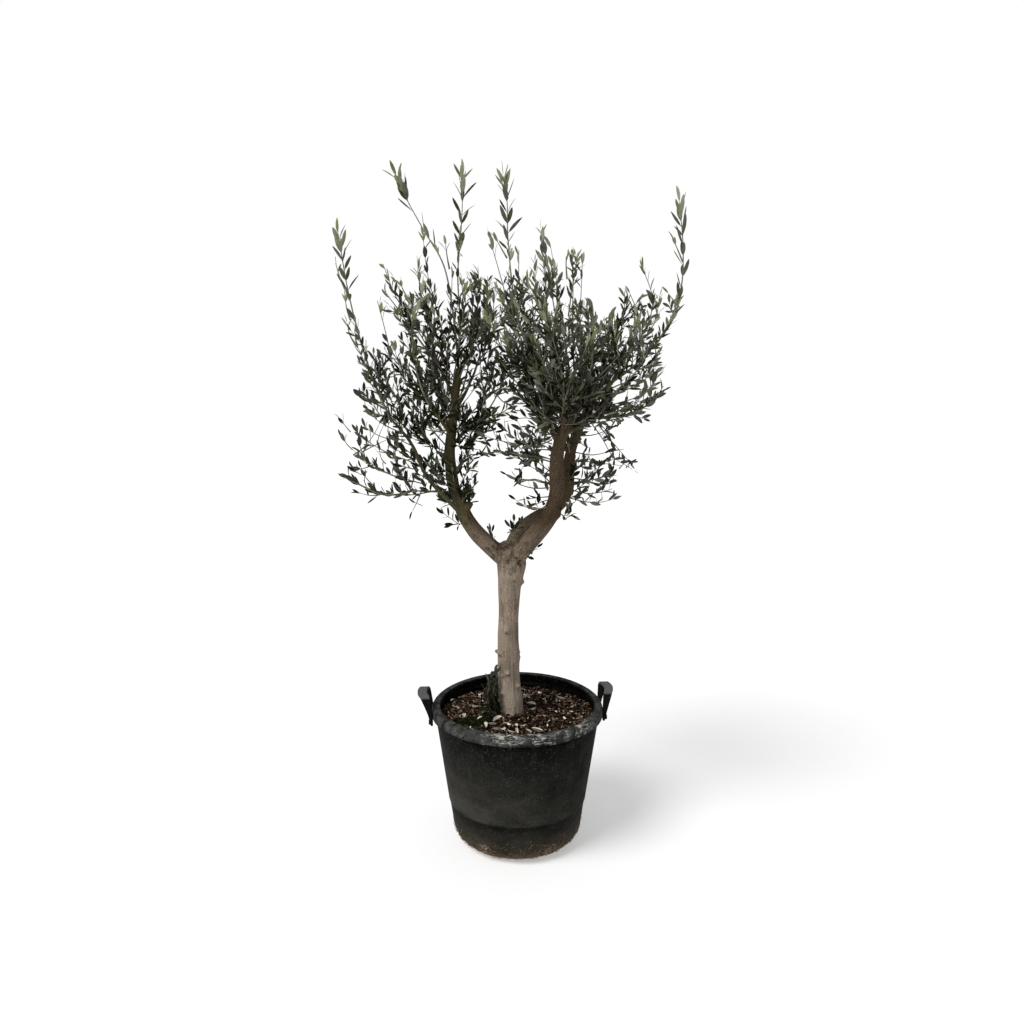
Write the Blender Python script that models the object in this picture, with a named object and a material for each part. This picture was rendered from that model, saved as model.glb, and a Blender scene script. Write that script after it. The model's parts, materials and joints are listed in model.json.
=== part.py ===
"""A young olive tree in a round plastic tub.

Units are metres, +Z is up. The origin is the centre of the tub's flat underside,
+X is to the right and +Y goes away from the front.
"""
import math
import random

import bmesh
import bpy
import numpy as np
from mathutils import Matrix, Vector

# --- Driving dimensions ---------------------------------------------------

GAP = 0.0003                # between solids that touch

TUB_HEIGHT = 0.420
TUB_FOOT_RADIUS = 0.191     # wall line carried down to the ground
TUB_TOP_RADIUS = 0.2465     # wall just below the rolled rim
TUB_CORNER = 0.060          # round between underside and wall
TUB_WALL = 0.004
TUB_STEP_HEIGHT = 0.064     # the wall below this is set back
TUB_STEP = 0.002
TUB_SIDES = 32
RIM_RADIUS = 0.258
RIM_MOUTH_RADIUS = 0.2315
RIM_DEPTH = 0.031
RIM_ROUND = 0.006
RIM_EDGE = 0.003            # round at the rim's lower edge
RIM_LIP = 0.6               # share of the rim's depth that its inner face hangs down
DRAIN_HOLES = 6
DRAIN_RADIUS = 0.007
DRAIN_HEIGHT = 0.030
DRAIN_SLOPE = 0.45          # how far the holes point down

SOIL_HEIGHT = 0.384
SOIL_MOUND = 0.004          # rise of the soil round the trunk
SOIL_MOUND_RADIUS = 0.060

HANDLE_TURN = 4.5           # degrees that the pair is turned about Z
HANDLE_HALF_SPAN = 0.044
HANDLE_TOP = 0.466
HANDLE_FOOT = 0.370
HANDLE_SEAT = 0.408         # below this the legs lie flat on the rim
HANDLE_STRAP = 0.006
HANDLE_LEANS = {"handle_left": 0.024, "handle_right": 0.016}    # grip out past the feet
HANDLE_FOOT_WIDTH = 0.008
HANDLE_GRIP_WIDTH = 0.020
HANDLE_SHOULDER = 0.30      # share of the height that is rounded
HANDLE_POINTS = 4           # along each rounded shoulder

TRUNK_CENTRE = (-0.018, 0.0)
SHORT_EDGE = 0.0025          # edges below this are merged away in a fused mass
NECK_AREA = 0.6e-6          # least section that merging leaves
FLAT_ANGLE = math.radians(0.3)
LIMB_STEP = 0.045           # between the rings of a limb
STEM_STEP = 0.060           # between the rings of a stem
TWIG_SIDES = 3
STEM_RADIUS = 0.0036
STEM_TIP_RADIUS = 0.0020
TWIG_RADIUS = 0.0030
TWIG_TIP_RADIUS = 0.0019
LEAF_LENGTH = 0.070
LEAF_WIDTH = 0.0180
LEAF_THICKNESS = 0.0014
LEAF_WIDEST = 0.46          # share of the length where a leaf is widest
LEAF_PEAK = 0.34            # and where its midrib stands highest
LEAF_STALK = 0.0010         # radius of its stalk
LEAF_PROBES = (0.25, 0.5, 0.75, 1.0)    # where a leaf's room is tested
SHOOT_LEAF = 0.8            # size of the leaves on the stems' own tips
LEAF_SPACING = 0.022        # between one leaf and the next round the twig
LEAF_ANGLE = 48             # degrees between a leaf and its twig
LEAF_ANGLE_SPREAD = 12
LEAF_LENGTH_SPREAD = 0.12   # longer and shorter leaves
TWIG_ANGLE = 56             # degrees between a twig and its stem
TWIG_ANGLE_SPREAD = 10
TWIG_TAPER = 0.35           # how much shorter the last twigs on a stem are
TWIG_LIFT = 0.15            # how strongly a twig turns up
TWIG_LENGTHS = (0.85, 1.05)     # least and most, as shares of the mass's reach
TWIG_SHRINKS = (1.0, 0.85, 0.72)    # lengths tried until a twig has room
TWIG_SHORTEST = 0.008       # bare part below its last leaf
TWIG_PROBES = (0.15, 0.3, 0.45, 0.6, 0.75, 0.9, 1.0)    # where a twig's room is tested
STEM_RISE = 0.012           # how far a stem goes straight on from its bough
TURN_SPREAD = 22            # degrees either way off the middle of a flat
MARGIN = 0.0025             # kept free on each side of a mass's border
CROWN_LEFT = -0.518
CROWN_RIGHT = 0.488
CROWN_FRONT = -0.420
CROWN_BACK = 0.440
CROWN_BOTTOM = 0.985
CROWN_TOP = 2.000

# Each limb: the limb that it leaves, whether on that limb's tip or its side,
# its sides, its first and last radius, and points along its middle.
LIMBS = {
    "left_bough_lower": {
        "on": "trunk", "tip": False, "sides": 10, "radii": (0.031, 0.025),
        "points": ((-0.020, 0.000, 0.845), (-0.070, 0.000, 0.894), (-0.118, 0.005, 0.940),
                   (-0.152, 0.010, 0.988), (-0.172, 0.015, 1.036)),
    },
    "left_bough_upper": {
        "on": "left_bough_lower", "tip": True, "sides": 9, "radii": (0.020, 0.011),
        "points": ((-0.188, 0.019, 1.080), (-0.198, 0.020, 1.170), (-0.191, 0.020, 1.245),
                   (-0.182, 0.025, 1.330), (-0.173, 0.030, 1.420)),
    },
    "left_outer_bough": {
        "on": "left_bough_lower", "tip": False, "sides": 8, "radii": (0.012, 0.008),
        "points": ((-0.160, 0.000, 0.995), (-0.215, -0.022, 1.056), (-0.266, -0.024, 1.118),
                   (-0.298, -0.026, 1.194), (-0.328, -0.032, 1.240), (-0.357, -0.040, 1.274)),
    },
    "right_front_bough_lower": {
        "on": "trunk", "tip": False, "sides": 10, "radii": (0.029, 0.024),
        "points": ((-0.018, -0.006, 0.846), (0.025, -0.022, 0.910), (0.059, -0.042, 0.955),
                   (0.088, -0.060, 0.996), (0.106, -0.074, 1.036)),
    },
    "right_front_bough_upper": {
        "on": "right_front_bough_lower", "tip": True, "sides": 9, "radii": (0.023, 0.014),
        "points": ((0.111, -0.085, 1.085), (0.109, -0.090, 1.140), (0.112, -0.095, 1.193),
                   (0.126, -0.100, 1.241), (0.150, -0.100, 1.287), (0.176, -0.100, 1.330)),
    },
    "right_rear_bough_lower": {
        "on": "trunk", "tip": False, "sides": 10, "radii": (0.027, 0.021),
        "points": ((-0.014, 0.014, 0.850), (0.016, 0.034, 0.928), (0.056, 0.056, 0.970),
                   (0.099, 0.074, 0.997), (0.138, 0.087, 1.029)),
    },
    "right_rear_bough_upper": {
        "on": "right_rear_bough_lower", "tip": True, "sides": 9, "radii": (0.019, 0.012),
        "points": ((0.154, 0.096, 1.070), (0.155, 0.100, 1.134), (0.166, 0.105, 1.188),
                   (0.187, 0.110, 1.245), (0.211, 0.115, 1.296), (0.229, 0.120, 1.338)),
    },
    "right_inner_bough": {
        "on": "right_front_bough_upper", "tip": False, "sides": 8, "radii": (0.012, 0.008),
        "points": ((0.115, -0.096, 1.210), (0.092, -0.100, 1.276), (0.078, -0.100, 1.331),
                   (0.064, -0.095, 1.385)),
    },
    "left_low_branch": {
        "on": "left_outer_bough", "tip": False, "sides": 6, "radii": (0.008, 0.006),
        "points": ((-0.226, -0.022, 1.068), (-0.262, -0.012, 1.067), (-0.300, -0.006, 1.068)),
    },
    "left_front_branch": {
        "on": "left_bough_upper", "tip": False, "sides": 6, "radii": (0.009, 0.007),
        "points": ((-0.192, 0.020, 1.235), (-0.214, -0.045, 1.268), (-0.237, -0.100, 1.306)),
    },
    "left_back_branch": {
        "on": "left_bough_upper", "tip": False, "sides": 6, "radii": (0.009, 0.007),
        "points": ((-0.194, 0.020, 1.210), (-0.212, 0.075, 1.272), (-0.234, 0.125, 1.325)),
    },
    "left_upper_branch": {
        "on": "left_bough_upper", "tip": False, "sides": 6, "radii": (0.009, 0.007),
        "points": ((-0.182, 0.024, 1.330), (-0.205, 0.018, 1.384), (-0.232, 0.008, 1.436)),
    },
    "left_inner_branch": {
        "on": "left_bough_upper", "tip": False, "sides": 6, "radii": (0.009, 0.007),
        "points": ((-0.188, 0.022, 1.290), (-0.155, 0.034, 1.345), (-0.130, 0.048, 1.400)),
    },
    "left_inner_low_branch": {
        "on": "left_bough_upper", "tip": False, "sides": 6, "radii": (0.008, 0.006),
        "points": ((-0.197, 0.020, 1.190), (-0.165, 0.004, 1.225), (-0.140, -0.006, 1.248)),
    },
    "inner_low_branch": {
        "on": "right_front_bough_upper", "tip": False, "sides": 6, "radii": (0.008, 0.006),
        "points": ((0.110, -0.088, 1.098), (0.082, -0.092, 1.100), (0.060, -0.092, 1.106)),
    },
    "right_low_branch": {
        "on": "right_front_bough_upper", "tip": False, "sides": 6, "radii": (0.009, 0.007),
        "points": ((0.125, -0.100, 1.236), (0.172, -0.110, 1.262), (0.210, -0.112, 1.280)),
    },
    "right_front_branch": {
        "on": "right_front_bough_upper", "tip": False, "sides": 6, "radii": (0.010, 0.008),
        "points": ((0.118, -0.098, 1.216), (0.122, -0.150, 1.268), (0.122, -0.200, 1.325)),
    },
    "right_rear_low_branch": {
        "on": "right_rear_bough_upper", "tip": False, "sides": 6, "radii": (0.008, 0.006),
        "points": ((0.154, 0.098, 1.080), (0.184, 0.122, 1.078), (0.210, 0.142, 1.078)),
    },
    "right_back_branch": {
        "on": "right_rear_bough_upper", "tip": False, "sides": 6, "radii": (0.010, 0.008),
        "points": ((0.184, 0.109, 1.236), (0.206, 0.165, 1.290), (0.222, 0.210, 1.345)),
    },
    "centre_back_branch": {
        "on": "right_rear_bough_upper", "tip": False, "sides": 6, "radii": (0.010, 0.008),
        "points": ((0.160, 0.102, 1.160), (0.134, 0.148, 1.222), (0.105, 0.195, 1.275)),
    },
}

# Each mass of foliage: the limb whose tip carries it, how far its twigs reach from
# its stem, how many twigs, the share of the stem that has twigs, and points on the stem.
MASSES = {
    "left_low_foliage": {
        "on": "left_low_branch", "reach": 0.125, "twigs": 8, "span": (0.10, 0.90),
        "points": ((-0.345, -0.030, 1.060), (-0.403, -0.050, 1.067), (-0.490, -0.060, 1.112)),
    },
    "left_low_rear_foliage": {
        "on": "left_low_branch", "reach": 0.125, "twigs": 8, "span": (0.10, 0.90),
        "points": ((-0.335, 0.040, 1.094), (-0.390, 0.085, 1.110), (-0.480, 0.120, 1.156)),
    },
    "left_side_foliage": {
        "on": "left_outer_bough", "reach": 0.130, "twigs": 9, "span": (0.06, 0.90),
        "points": ((-0.400, -0.065, 1.292), (-0.430, -0.085, 1.300), (-0.462, -0.100, 1.306)),
    },
    "far_left_foliage": {
        "on": "left_outer_bough", "reach": 0.130, "twigs": 10, "span": (0.06, 0.56),
        "points": ((-0.404, -0.030, 1.373), (-0.447, -0.010, 1.502), (-0.480, 0.000, 1.640),
                   (-0.502, 0.000, 1.790)),
    },
    "left_front_foliage": {
        "on": "left_front_branch", "reach": 0.170, "twigs": 11, "span": (0.06, 0.94),
        "points": ((-0.262, -0.165, 1.375), (-0.275, -0.205, 1.470), (-0.270, -0.225, 1.590)),
    },
    "left_back_foliage": {
        "on": "left_back_branch", "reach": 0.180, "twigs": 11, "span": (0.06, 0.94),
        "points": ((-0.262, 0.185, 1.405), (-0.280, 0.230, 1.530), (-0.270, 0.240, 1.680)),
    },
    "left_upper_foliage": {
        "on": "left_upper_branch", "reach": 0.125, "twigs": 10, "span": (0.06, 0.94),
        "points": ((-0.290, -0.015, 1.515), (-0.340, -0.040, 1.590), (-0.375, -0.050, 1.635)),
    },
    "left_high_foliage": {
        "on": "left_upper_branch", "reach": 0.140, "twigs": 10, "span": (0.12, 0.94),
        "points": ((-0.250, 0.010, 1.530), (-0.272, 0.005, 1.620), (-0.283, 0.000, 1.705)),
    },
    "left_shoot_foliage": {
        "on": "left_bough_upper", "reach": 0.120, "twigs": 9, "span": (0.14, 0.62),
        "points": ((-0.180, -0.020, 1.560), (-0.206, -0.010, 1.700), (-0.260, 0.000, 1.796),
                   (-0.305, 0.000, 1.876), (-0.336, 0.000, 1.944)),
    },
    "left_top_foliage": {
        "on": "left_bough_upper", "reach": 0.135, "twigs": 11, "span": (0.08, 0.66),
        "points": ((-0.168, 0.060, 1.560), (-0.172, 0.055, 1.690), (-0.158, 0.020, 1.824),
                   (-0.152, 0.000, 1.944)),
    },
    "left_inner_foliage": {
        "on": "left_inner_branch", "reach": 0.130, "twigs": 11, "span": (0.06, 0.92),
        "points": ((-0.104, 0.075, 1.490), (-0.090, 0.085, 1.620), (-0.090, 0.065, 1.772)),
    },
    "left_inner_low_foliage": {
        "on": "left_inner_low_branch", "reach": 0.120, "twigs": 10, "span": (0.06, 0.94),
        "points": ((-0.095, -0.025, 1.288), (-0.058, -0.040, 1.345), (-0.038, -0.045, 1.405)),
    },
    "inner_low_foliage": {
        "on": "inner_low_branch", "reach": 0.110, "twigs": 8, "span": (0.05, 0.92),
        "points": ((0.030, -0.090, 1.108), (-0.005, -0.082, 1.113), (-0.030, -0.075, 1.122)),
    },
    "mid_shoot_foliage": {
        "on": "right_inner_bough", "reach": 0.130, "twigs": 11, "span": (0.06, 0.66),
        "points": ((0.020, -0.080, 1.495), (-0.010, -0.050, 1.605), (-0.027, 0.000, 1.774),
                   (-0.030, 0.000, 1.881), (-0.040, 0.000, 1.944)),
    },
    "mid_top_foliage": {
        "on": "right_inner_bough", "reach": 0.135, "twigs": 10, "span": (0.08, 0.92),
        "points": ((0.080, -0.110, 1.500), (0.076, -0.090, 1.628), (0.064, -0.055, 1.758)),
    },
    "right_front_top_foliage": {
        "on": "right_front_bough_upper", "reach": 0.130, "twigs": 11, "span": (0.06, 0.92),
        "points": ((0.200, -0.125, 1.430), (0.202, -0.130, 1.560), (0.180, -0.105, 1.710)),
    },
    "right_mid_foliage": {
        "on": "right_low_branch", "reach": 0.140, "twigs": 11, "span": (0.08, 0.92),
        "points": ((0.262, -0.150, 1.352), (0.315, -0.185, 1.410), (0.345, -0.200, 1.470)),
    },
    "right_low_foliage": {
        "on": "right_low_branch", "reach": 0.130, "twigs": 9, "span": (0.08, 0.92),
        "points": ((0.290, -0.065, 1.286), (0.360, -0.035, 1.312), (0.420, -0.005, 1.356)),
    },
    "right_front_foliage": {
        "on": "right_front_branch", "reach": 0.180, "twigs": 12, "span": (0.06, 0.94),
        "points": ((0.112, -0.240, 1.400), (0.088, -0.250, 1.490), (0.060, -0.235, 1.590)),
    },
    "far_right_foliage": {
        "on": "right_rear_bough_upper", "reach": 0.120, "twigs": 9, "span": (0.10, 0.60),
        "points": ((0.348, 0.080, 1.432), (0.440, 0.040, 1.545), (0.461, 0.000, 1.638),
                   (0.464, 0.000, 1.750), (0.450, 0.000, 1.875)),
    },
    "right_top_foliage": {
        "on": "right_rear_bough_upper", "reach": 0.130, "twigs": 11, "span": (0.08, 0.92),
        "points": ((0.262, 0.120, 1.445), (0.306, 0.105, 1.560), (0.346, 0.085, 1.680)),
    },
    "right_hanging_foliage": {
        "on": "right_rear_bough_upper", "reach": 0.130, "twigs": 9, "span": (0.14, 0.92),
        "points": ((0.262, 0.150, 1.350), (0.311, 0.174, 1.278), (0.349, 0.186, 1.160)),
    },
    "right_rear_low_foliage": {
        "on": "right_rear_low_branch", "reach": 0.120, "twigs": 9, "span": (0.06, 0.92),
        "points": ((0.245, 0.166, 1.070), (0.282, 0.188, 1.066), (0.318, 0.205, 1.074)),
    },
    "right_back_foliage": {
        "on": "right_back_branch", "reach": 0.180, "twigs": 11, "span": (0.06, 0.94),
        "points": ((0.240, 0.245, 1.440), (0.240, 0.265, 1.550), (0.215, 0.270, 1.680)),
    },
    "centre_back_foliage": {
        "on": "centre_back_branch", "reach": 0.180, "twigs": 11, "span": (0.06, 0.94),
        "points": ((0.050, 0.230, 1.370), (0.000, 0.250, 1.500), (-0.020, 0.240, 1.650)),
    },
}

# --- Materials ------------------------------------------------------------


def make_material(name, colour, roughness):
    material = bpy.data.materials.new(name)
    material.use_nodes = True
    shader = material.node_tree.nodes["Principled BSDF"]
    shader.inputs["Base Color"].default_value = (*colour, 1.0)
    shader.inputs["Roughness"].default_value = roughness
    shader.inputs["Metallic"].default_value = 0.0
    return material


# --- Meshes ---------------------------------------------------------------


def new_object(name, shape, material=None, collection=None):
    """Turns a bmesh into an object with outward faces and frees the bmesh."""
    bmesh.ops.recalc_face_normals(shape, faces=shape.faces)
    mesh = bpy.data.meshes.new(name)
    shape.to_mesh(mesh)
    shape.free()
    if material:
        mesh.materials.append(material)
    item = bpy.data.objects.new(name, mesh)
    (collection or bpy.context.scene.collection).objects.link(item)
    return item


def remove_object(item):
    mesh = item.data
    bpy.data.objects.remove(item)
    bpy.data.meshes.remove(mesh)


def apply_modifiers(item):
    """Replaces the object's mesh with what its modifiers make of it."""
    graph = bpy.context.evaluated_depsgraph_get()
    made = bpy.data.meshes.new_from_object(item.evaluated_get(graph))
    worn = item.data
    item.modifiers.clear()
    item.data = made
    bpy.data.meshes.remove(worn)


def turns_a_face(keep, gone):
    """Whether moving one corner onto another would fold a face or flatten it."""
    for face in gone.link_faces:
        if keep in face.verts:
            continue
        first, second, third = [keep.co if corner is gone else corner.co for corner in face.verts]
        moved = (second - first).cross(third - first)
        if moved.length < 1e-10 or moved.normalized().dot(face.normal) < 0.5:
            return True
    return False


def pinches(keep, gone):
    """Whether merging two corners would leave a neck that is too narrow."""
    around = {link.other_vert(corner) for corner in (keep, gone) for link in corner.link_edges}
    around -= {keep, gone}
    faces = {frozenset(face.verts) - {keep, gone} for corner in (keep, gone) for face in corner.link_faces}
    for first in around:
        for link in first.link_edges:
            second = link.other_vert(first)
            if second in around and frozenset((first, second)) not in faces:
                if (first.co - keep.co).cross(second.co - keep.co).length * 0.5 < NECK_AREA:
                    return True
    return False


def merge_short_edges(item):
    """Merges the short edges that fusing leaves round each root; the solid stays closed."""
    shape = bmesh.new()
    shape.from_mesh(item.data)
    merged = True
    while merged:
        merged = False
        shape.normal_update()
        short = [edge for edge in shape.edges if edge.calc_length() < SHORT_EDGE]
        for edge in sorted(short, key=lambda edge: edge.calc_length()):
            if not edge.is_valid:
                continue
            one, other = edge.verts
            shared = {link.other_vert(one) for link in one.link_edges}
            shared &= {link.other_vert(other) for link in other.link_edges}
            if len(shared) != 2 or min(len(corner.link_edges) for corner in shared) < 4:
                continue
            for keep, gone in ((one, other), (other, one)):
                if not turns_a_face(keep, gone) and not pinches(keep, gone):
                    bmesh.ops.pointmerge(shape, verts=[gone, keep], merge_co=keep.co.copy())
                    shape.normal_update()
                    merged = True
                    break
    shape.to_mesh(item.data)
    shape.free()


def keep_largest_shell(item):
    """Drops loose scraps and fills sealed hollows, which are shells of their own."""
    shape = bmesh.new()
    shape.from_mesh(item.data)
    # A corner in the middle of a straight edge would give both its faces the same diagonal.
    bmesh.ops.dissolve_limit(shape, angle_limit=FLAT_ANGLE, verts=shape.verts, edges=shape.edges)
    bmesh.ops.triangulate(shape, faces=shape.faces)
    unseen = set(shape.faces)
    shells = []
    while unseen:
        shell = []
        queue = [unseen.pop()]
        while queue:
            face = queue.pop()
            shell.append(face)
            for edge in face.edges:
                for other in edge.link_faces:
                    if other in unseen:
                        unseen.remove(other)
                        queue.append(other)
        shells.append(shell)
    shells.sort(key=len)
    for shell in shells[:-1]:
        bmesh.ops.delete(shape, geom=shell, context="FACES")
    shape.to_mesh(item.data)
    shape.free()


def lathe(outline, sides):
    """Turns an outline of (radius, height) about Z; its ends lie on the axis."""
    shape = bmesh.new()
    rings = []
    for radius, height in outline:
        if radius == 0.0:
            rings.append([shape.verts.new((0.0, 0.0, height))])
            continue
        ring = []
        for index in range(sides):
            angle = 2.0 * math.pi * (index + 0.5) / sides
            ring.append(shape.verts.new((radius * math.cos(angle), radius * math.sin(angle), height)))
        rings.append(ring)
    for low, high in zip(rings, rings[1:]):
        for index in range(sides):
            after = (index + 1) % sides
            corners = [low[index % len(low)], low[after % len(low)],
                       high[after % len(high)], high[index % len(high)]]
            shape.faces.new(list(dict.fromkeys(corners)))
    return shape


def smooth_path(points, step):
    """A Catmull-Rom curve through the points, cut into spans about one step long."""
    points = [Vector(point) for point in points]
    before = points[0] * 2.0 - points[1]
    after = points[-1] * 2.0 - points[-2]
    padded = [before, *points, after]
    path = [points[0]]
    for index in range(1, len(padded) - 2):
        a, b, c, d = padded[index - 1:index + 3]
        count = max(1, round((c - b).length / step))
        for part in range(1, count + 1):
            t = part / count
            path.append(0.5 * (2.0 * b + (c - a) * t + (2.0 * a - 5.0 * b + 4.0 * c - d) * t ** 2
                               + (3.0 * b - a - 3.0 * c + d) * t ** 3))
    return path


def lengths_along(path):
    """The distance from the start of a path to each of its points."""
    total = 0.0
    lengths = [0.0]
    for before, after in zip(path, path[1:]):
        total += (after - before).length
        lengths.append(total)
    return lengths


def frames_along(path, start=None):
    """Each point of a path with its direction and a vector across that doesn't twist."""
    last = len(path) - 1
    frames = []
    across = None
    for index, point in enumerate(path):
        along = (path[min(index + 1, last)] - path[max(index - 1, 0)]).normalized()
        if index == 0 and start:
            along = start
        if across is None:
            across = along.orthogonal().normalized()
        across = (across - along * across.dot(along)).normalized()
        frames.append((point, along, across))
    return frames


def frame_at(frames, share):
    """The point, the direction and the vector across at a share of a path's length."""
    lengths = lengths_along([point for point, along, across in frames])
    wanted = share * lengths[-1]
    index = 1
    while lengths[index] < wanted and index < len(lengths) - 1:
        index += 1
    part = (wanted - lengths[index - 1]) / (lengths[index] - lengths[index - 1])
    before, after = frames[index - 1], frames[index]
    along = (after[0] - before[0]).normalized()
    across = before[2].lerp(after[2], part)
    across = (across - along * across.dot(along)).normalized()
    return before[0].lerp(after[0], part), along, across


def ring_round(shape, frame, radius, sides):
    point, along, across = frame
    ring = []
    for corner in range(sides):
        turn = Matrix.Rotation(2.0 * math.pi * corner / sides, 3, along)
        ring.append(shape.verts.new(point + turn @ across * radius))
    return ring


def bridge(shape, low, high):
    """Joins two rings, or a ring and a single point, with faces."""
    for corner in range(len(low)):
        after = (corner + 1) % len(low)
        corners = [low[corner], low[after], high[after % len(high)], high[corner % len(high)]]
        shape.faces.new(list(dict.fromkeys(corners)))


def tube(frames, radii, sides):
    """A closed tube with a flat cut at each end."""
    shape = bmesh.new()
    rings = [ring_round(shape, frame, radius, sides) for frame, radius in zip(frames, radii)]
    for low, high in zip(rings, rings[1:]):
        bridge(shape, low, high)
    shape.faces.new(rings[0])
    shape.faces.new(rings[-1])
    bmesh.ops.triangulate(shape, faces=shape.faces)
    return shape


# --- The tub --------------------------------------------------------------


def wall_radius(height):
    """Outer radius of the tub's straight wall."""
    share = height / (TUB_HEIGHT - RIM_DEPTH)
    return TUB_FOOT_RADIUS + (TUB_TOP_RADIUS - TUB_FOOT_RADIUS) * share


def corner_arc(radius, bottom, size, count):
    """A quarter round from a flat underside up into a wall."""
    points = []
    for index in range(count + 1):
        angle = math.radians(90.0 * index / count)
        points.append((radius - size + size * math.sin(angle), bottom + size - size * math.cos(angle)))
    return points


def cavity_outline(clear):
    """The tub's inside from the floor's centre to the wall's top, kept clear of it."""
    size = TUB_CORNER - TUB_WALL
    foot = wall_radius(TUB_CORNER) - TUB_STEP - TUB_WALL - clear
    top = TUB_HEIGHT - RIM_DEPTH
    arc = corner_arc(foot, TUB_WALL + clear, size - clear, 3)
    return [(0.0, TUB_WALL + clear), *arc, (wall_radius(top) - TUB_WALL - clear, top)]


def make_tub(material):
    top = TUB_HEIGHT - RIM_DEPTH
    foot = wall_radius(TUB_CORNER) - TUB_STEP
    outer = [
        (0.0, 0.0),
        *corner_arc(foot, 0.0, TUB_CORNER, 4),
        (wall_radius(TUB_STEP_HEIGHT) - TUB_STEP, TUB_STEP_HEIGHT - TUB_STEP),
        (wall_radius(TUB_STEP_HEIGHT), TUB_STEP_HEIGHT),
        (TUB_TOP_RADIUS, top),
        (RIM_RADIUS - RIM_EDGE * 0.33, top),
        (RIM_RADIUS, top + RIM_EDGE),
        (RIM_RADIUS, TUB_HEIGHT - RIM_ROUND * 1.4),
        (RIM_RADIUS - RIM_ROUND * 0.5, TUB_HEIGHT - RIM_ROUND * 0.4),
        (RIM_RADIUS - RIM_ROUND * 1.5, TUB_HEIGHT),
        (RIM_MOUTH_RADIUS + RIM_ROUND * 1.2, TUB_HEIGHT),
        (RIM_MOUTH_RADIUS, TUB_HEIGHT - RIM_ROUND),
        (RIM_MOUTH_RADIUS, TUB_HEIGHT - RIM_DEPTH * RIM_LIP),
    ]
    shape = lathe(outer + cavity_outline(0.0)[::-1], TUB_SIDES)
    tub = new_object("pot", shape, material)
    for index in range(DRAIN_HOLES):
        cutter = make_drain_cutter(index)
        cut(tub, cutter)
        remove_object(cutter)
    keep_largest_shell(tub)
    tub.data.shade_smooth()
    tub.data.set_sharp_from_angle(angle=math.radians(40.0))
    return tub


def make_drain_cutter(index):
    """A peg through the tub's bottom corner, pointing out and down."""
    angle = math.radians(360.0 / DRAIN_HOLES * index)
    outward = Vector((math.cos(angle), math.sin(angle), 0.0))
    slope = (outward - Vector((0.0, 0.0, DRAIN_SLOPE))).normalized()
    foot = wall_radius(TUB_CORNER) - TUB_CORNER * 0.25
    centre = outward * foot + Vector((0.0, 0.0, DRAIN_HEIGHT))
    half = TUB_CORNER * 0.3
    frames = frames_along([centre - slope * half, centre + slope * half])
    cutter = new_object("drain_cutter", tube(frames, [DRAIN_RADIUS] * 2, 8))
    cutter.hide_render = True
    return cutter


def cut(item, cutter):
    modifier = item.modifiers.new("cut", "BOOLEAN")
    modifier.operation = "DIFFERENCE"
    modifier.solver = "EXACT"
    modifier.object = cutter
    apply_modifiers(item)


def make_soil(material):
    """The root ball: it fills the tub up to a low mound round the trunk."""
    outline = cavity_outline(GAP)
    bottom, top = outline[-2], outline[-1]
    share = (SOIL_HEIGHT - bottom[1]) / (top[1] - bottom[1])
    edge = bottom[0] + (top[0] - bottom[0]) * share
    outline[-1] = (edge, SOIL_HEIGHT)
    outline.append((SOIL_MOUND_RADIUS * 2.2, SOIL_HEIGHT + SOIL_MOUND * 0.4))
    outline.append((SOIL_MOUND_RADIUS * 1.2, SOIL_HEIGHT + SOIL_MOUND))
    outline.append((0.0, SOIL_HEIGHT + SOIL_MOUND))
    soil = new_object("soil", lathe(outline, TUB_SIDES), material)
    soil.data.shade_smooth()
    soil.data.set_sharp_from_angle(angle=math.radians(40.0))
    return soil


def handle_arch():
    """Points (across, height) along the middle of the handle's strap."""
    shoulder = (HANDLE_TOP - HANDLE_FOOT) * HANDLE_SHOULDER
    right = [(HANDLE_HALF_SPAN, HANDLE_FOOT), (HANDLE_HALF_SPAN, HANDLE_SEAT)]
    for index in range(HANDLE_POINTS + 1):
        angle = math.radians(90.0 * index / HANDLE_POINTS)
        across = HANDLE_HALF_SPAN - shoulder * (1.0 - math.cos(angle))
        height = HANDLE_TOP - HANDLE_STRAP * 0.5 - shoulder * (1.0 - math.sin(angle))
        right.append((across, height))
    left = [(-across, height) for across, height in right]
    return right + left[::-1]


def rim_reach(across, turn):
    """How far out the rim's flat sides reach at a distance across a handle's middle."""
    flat = RIM_RADIUS * math.cos(math.pi / TUB_SIDES)
    reaches = []
    for index in range(TUB_SIDES):
        angle = 2.0 * math.pi * index / TUB_SIDES - math.radians(turn)
        if math.cos(angle) > 0.5:
            reaches.append((flat - across * math.sin(angle)) / math.cos(angle))
    return min(reaches)


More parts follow.
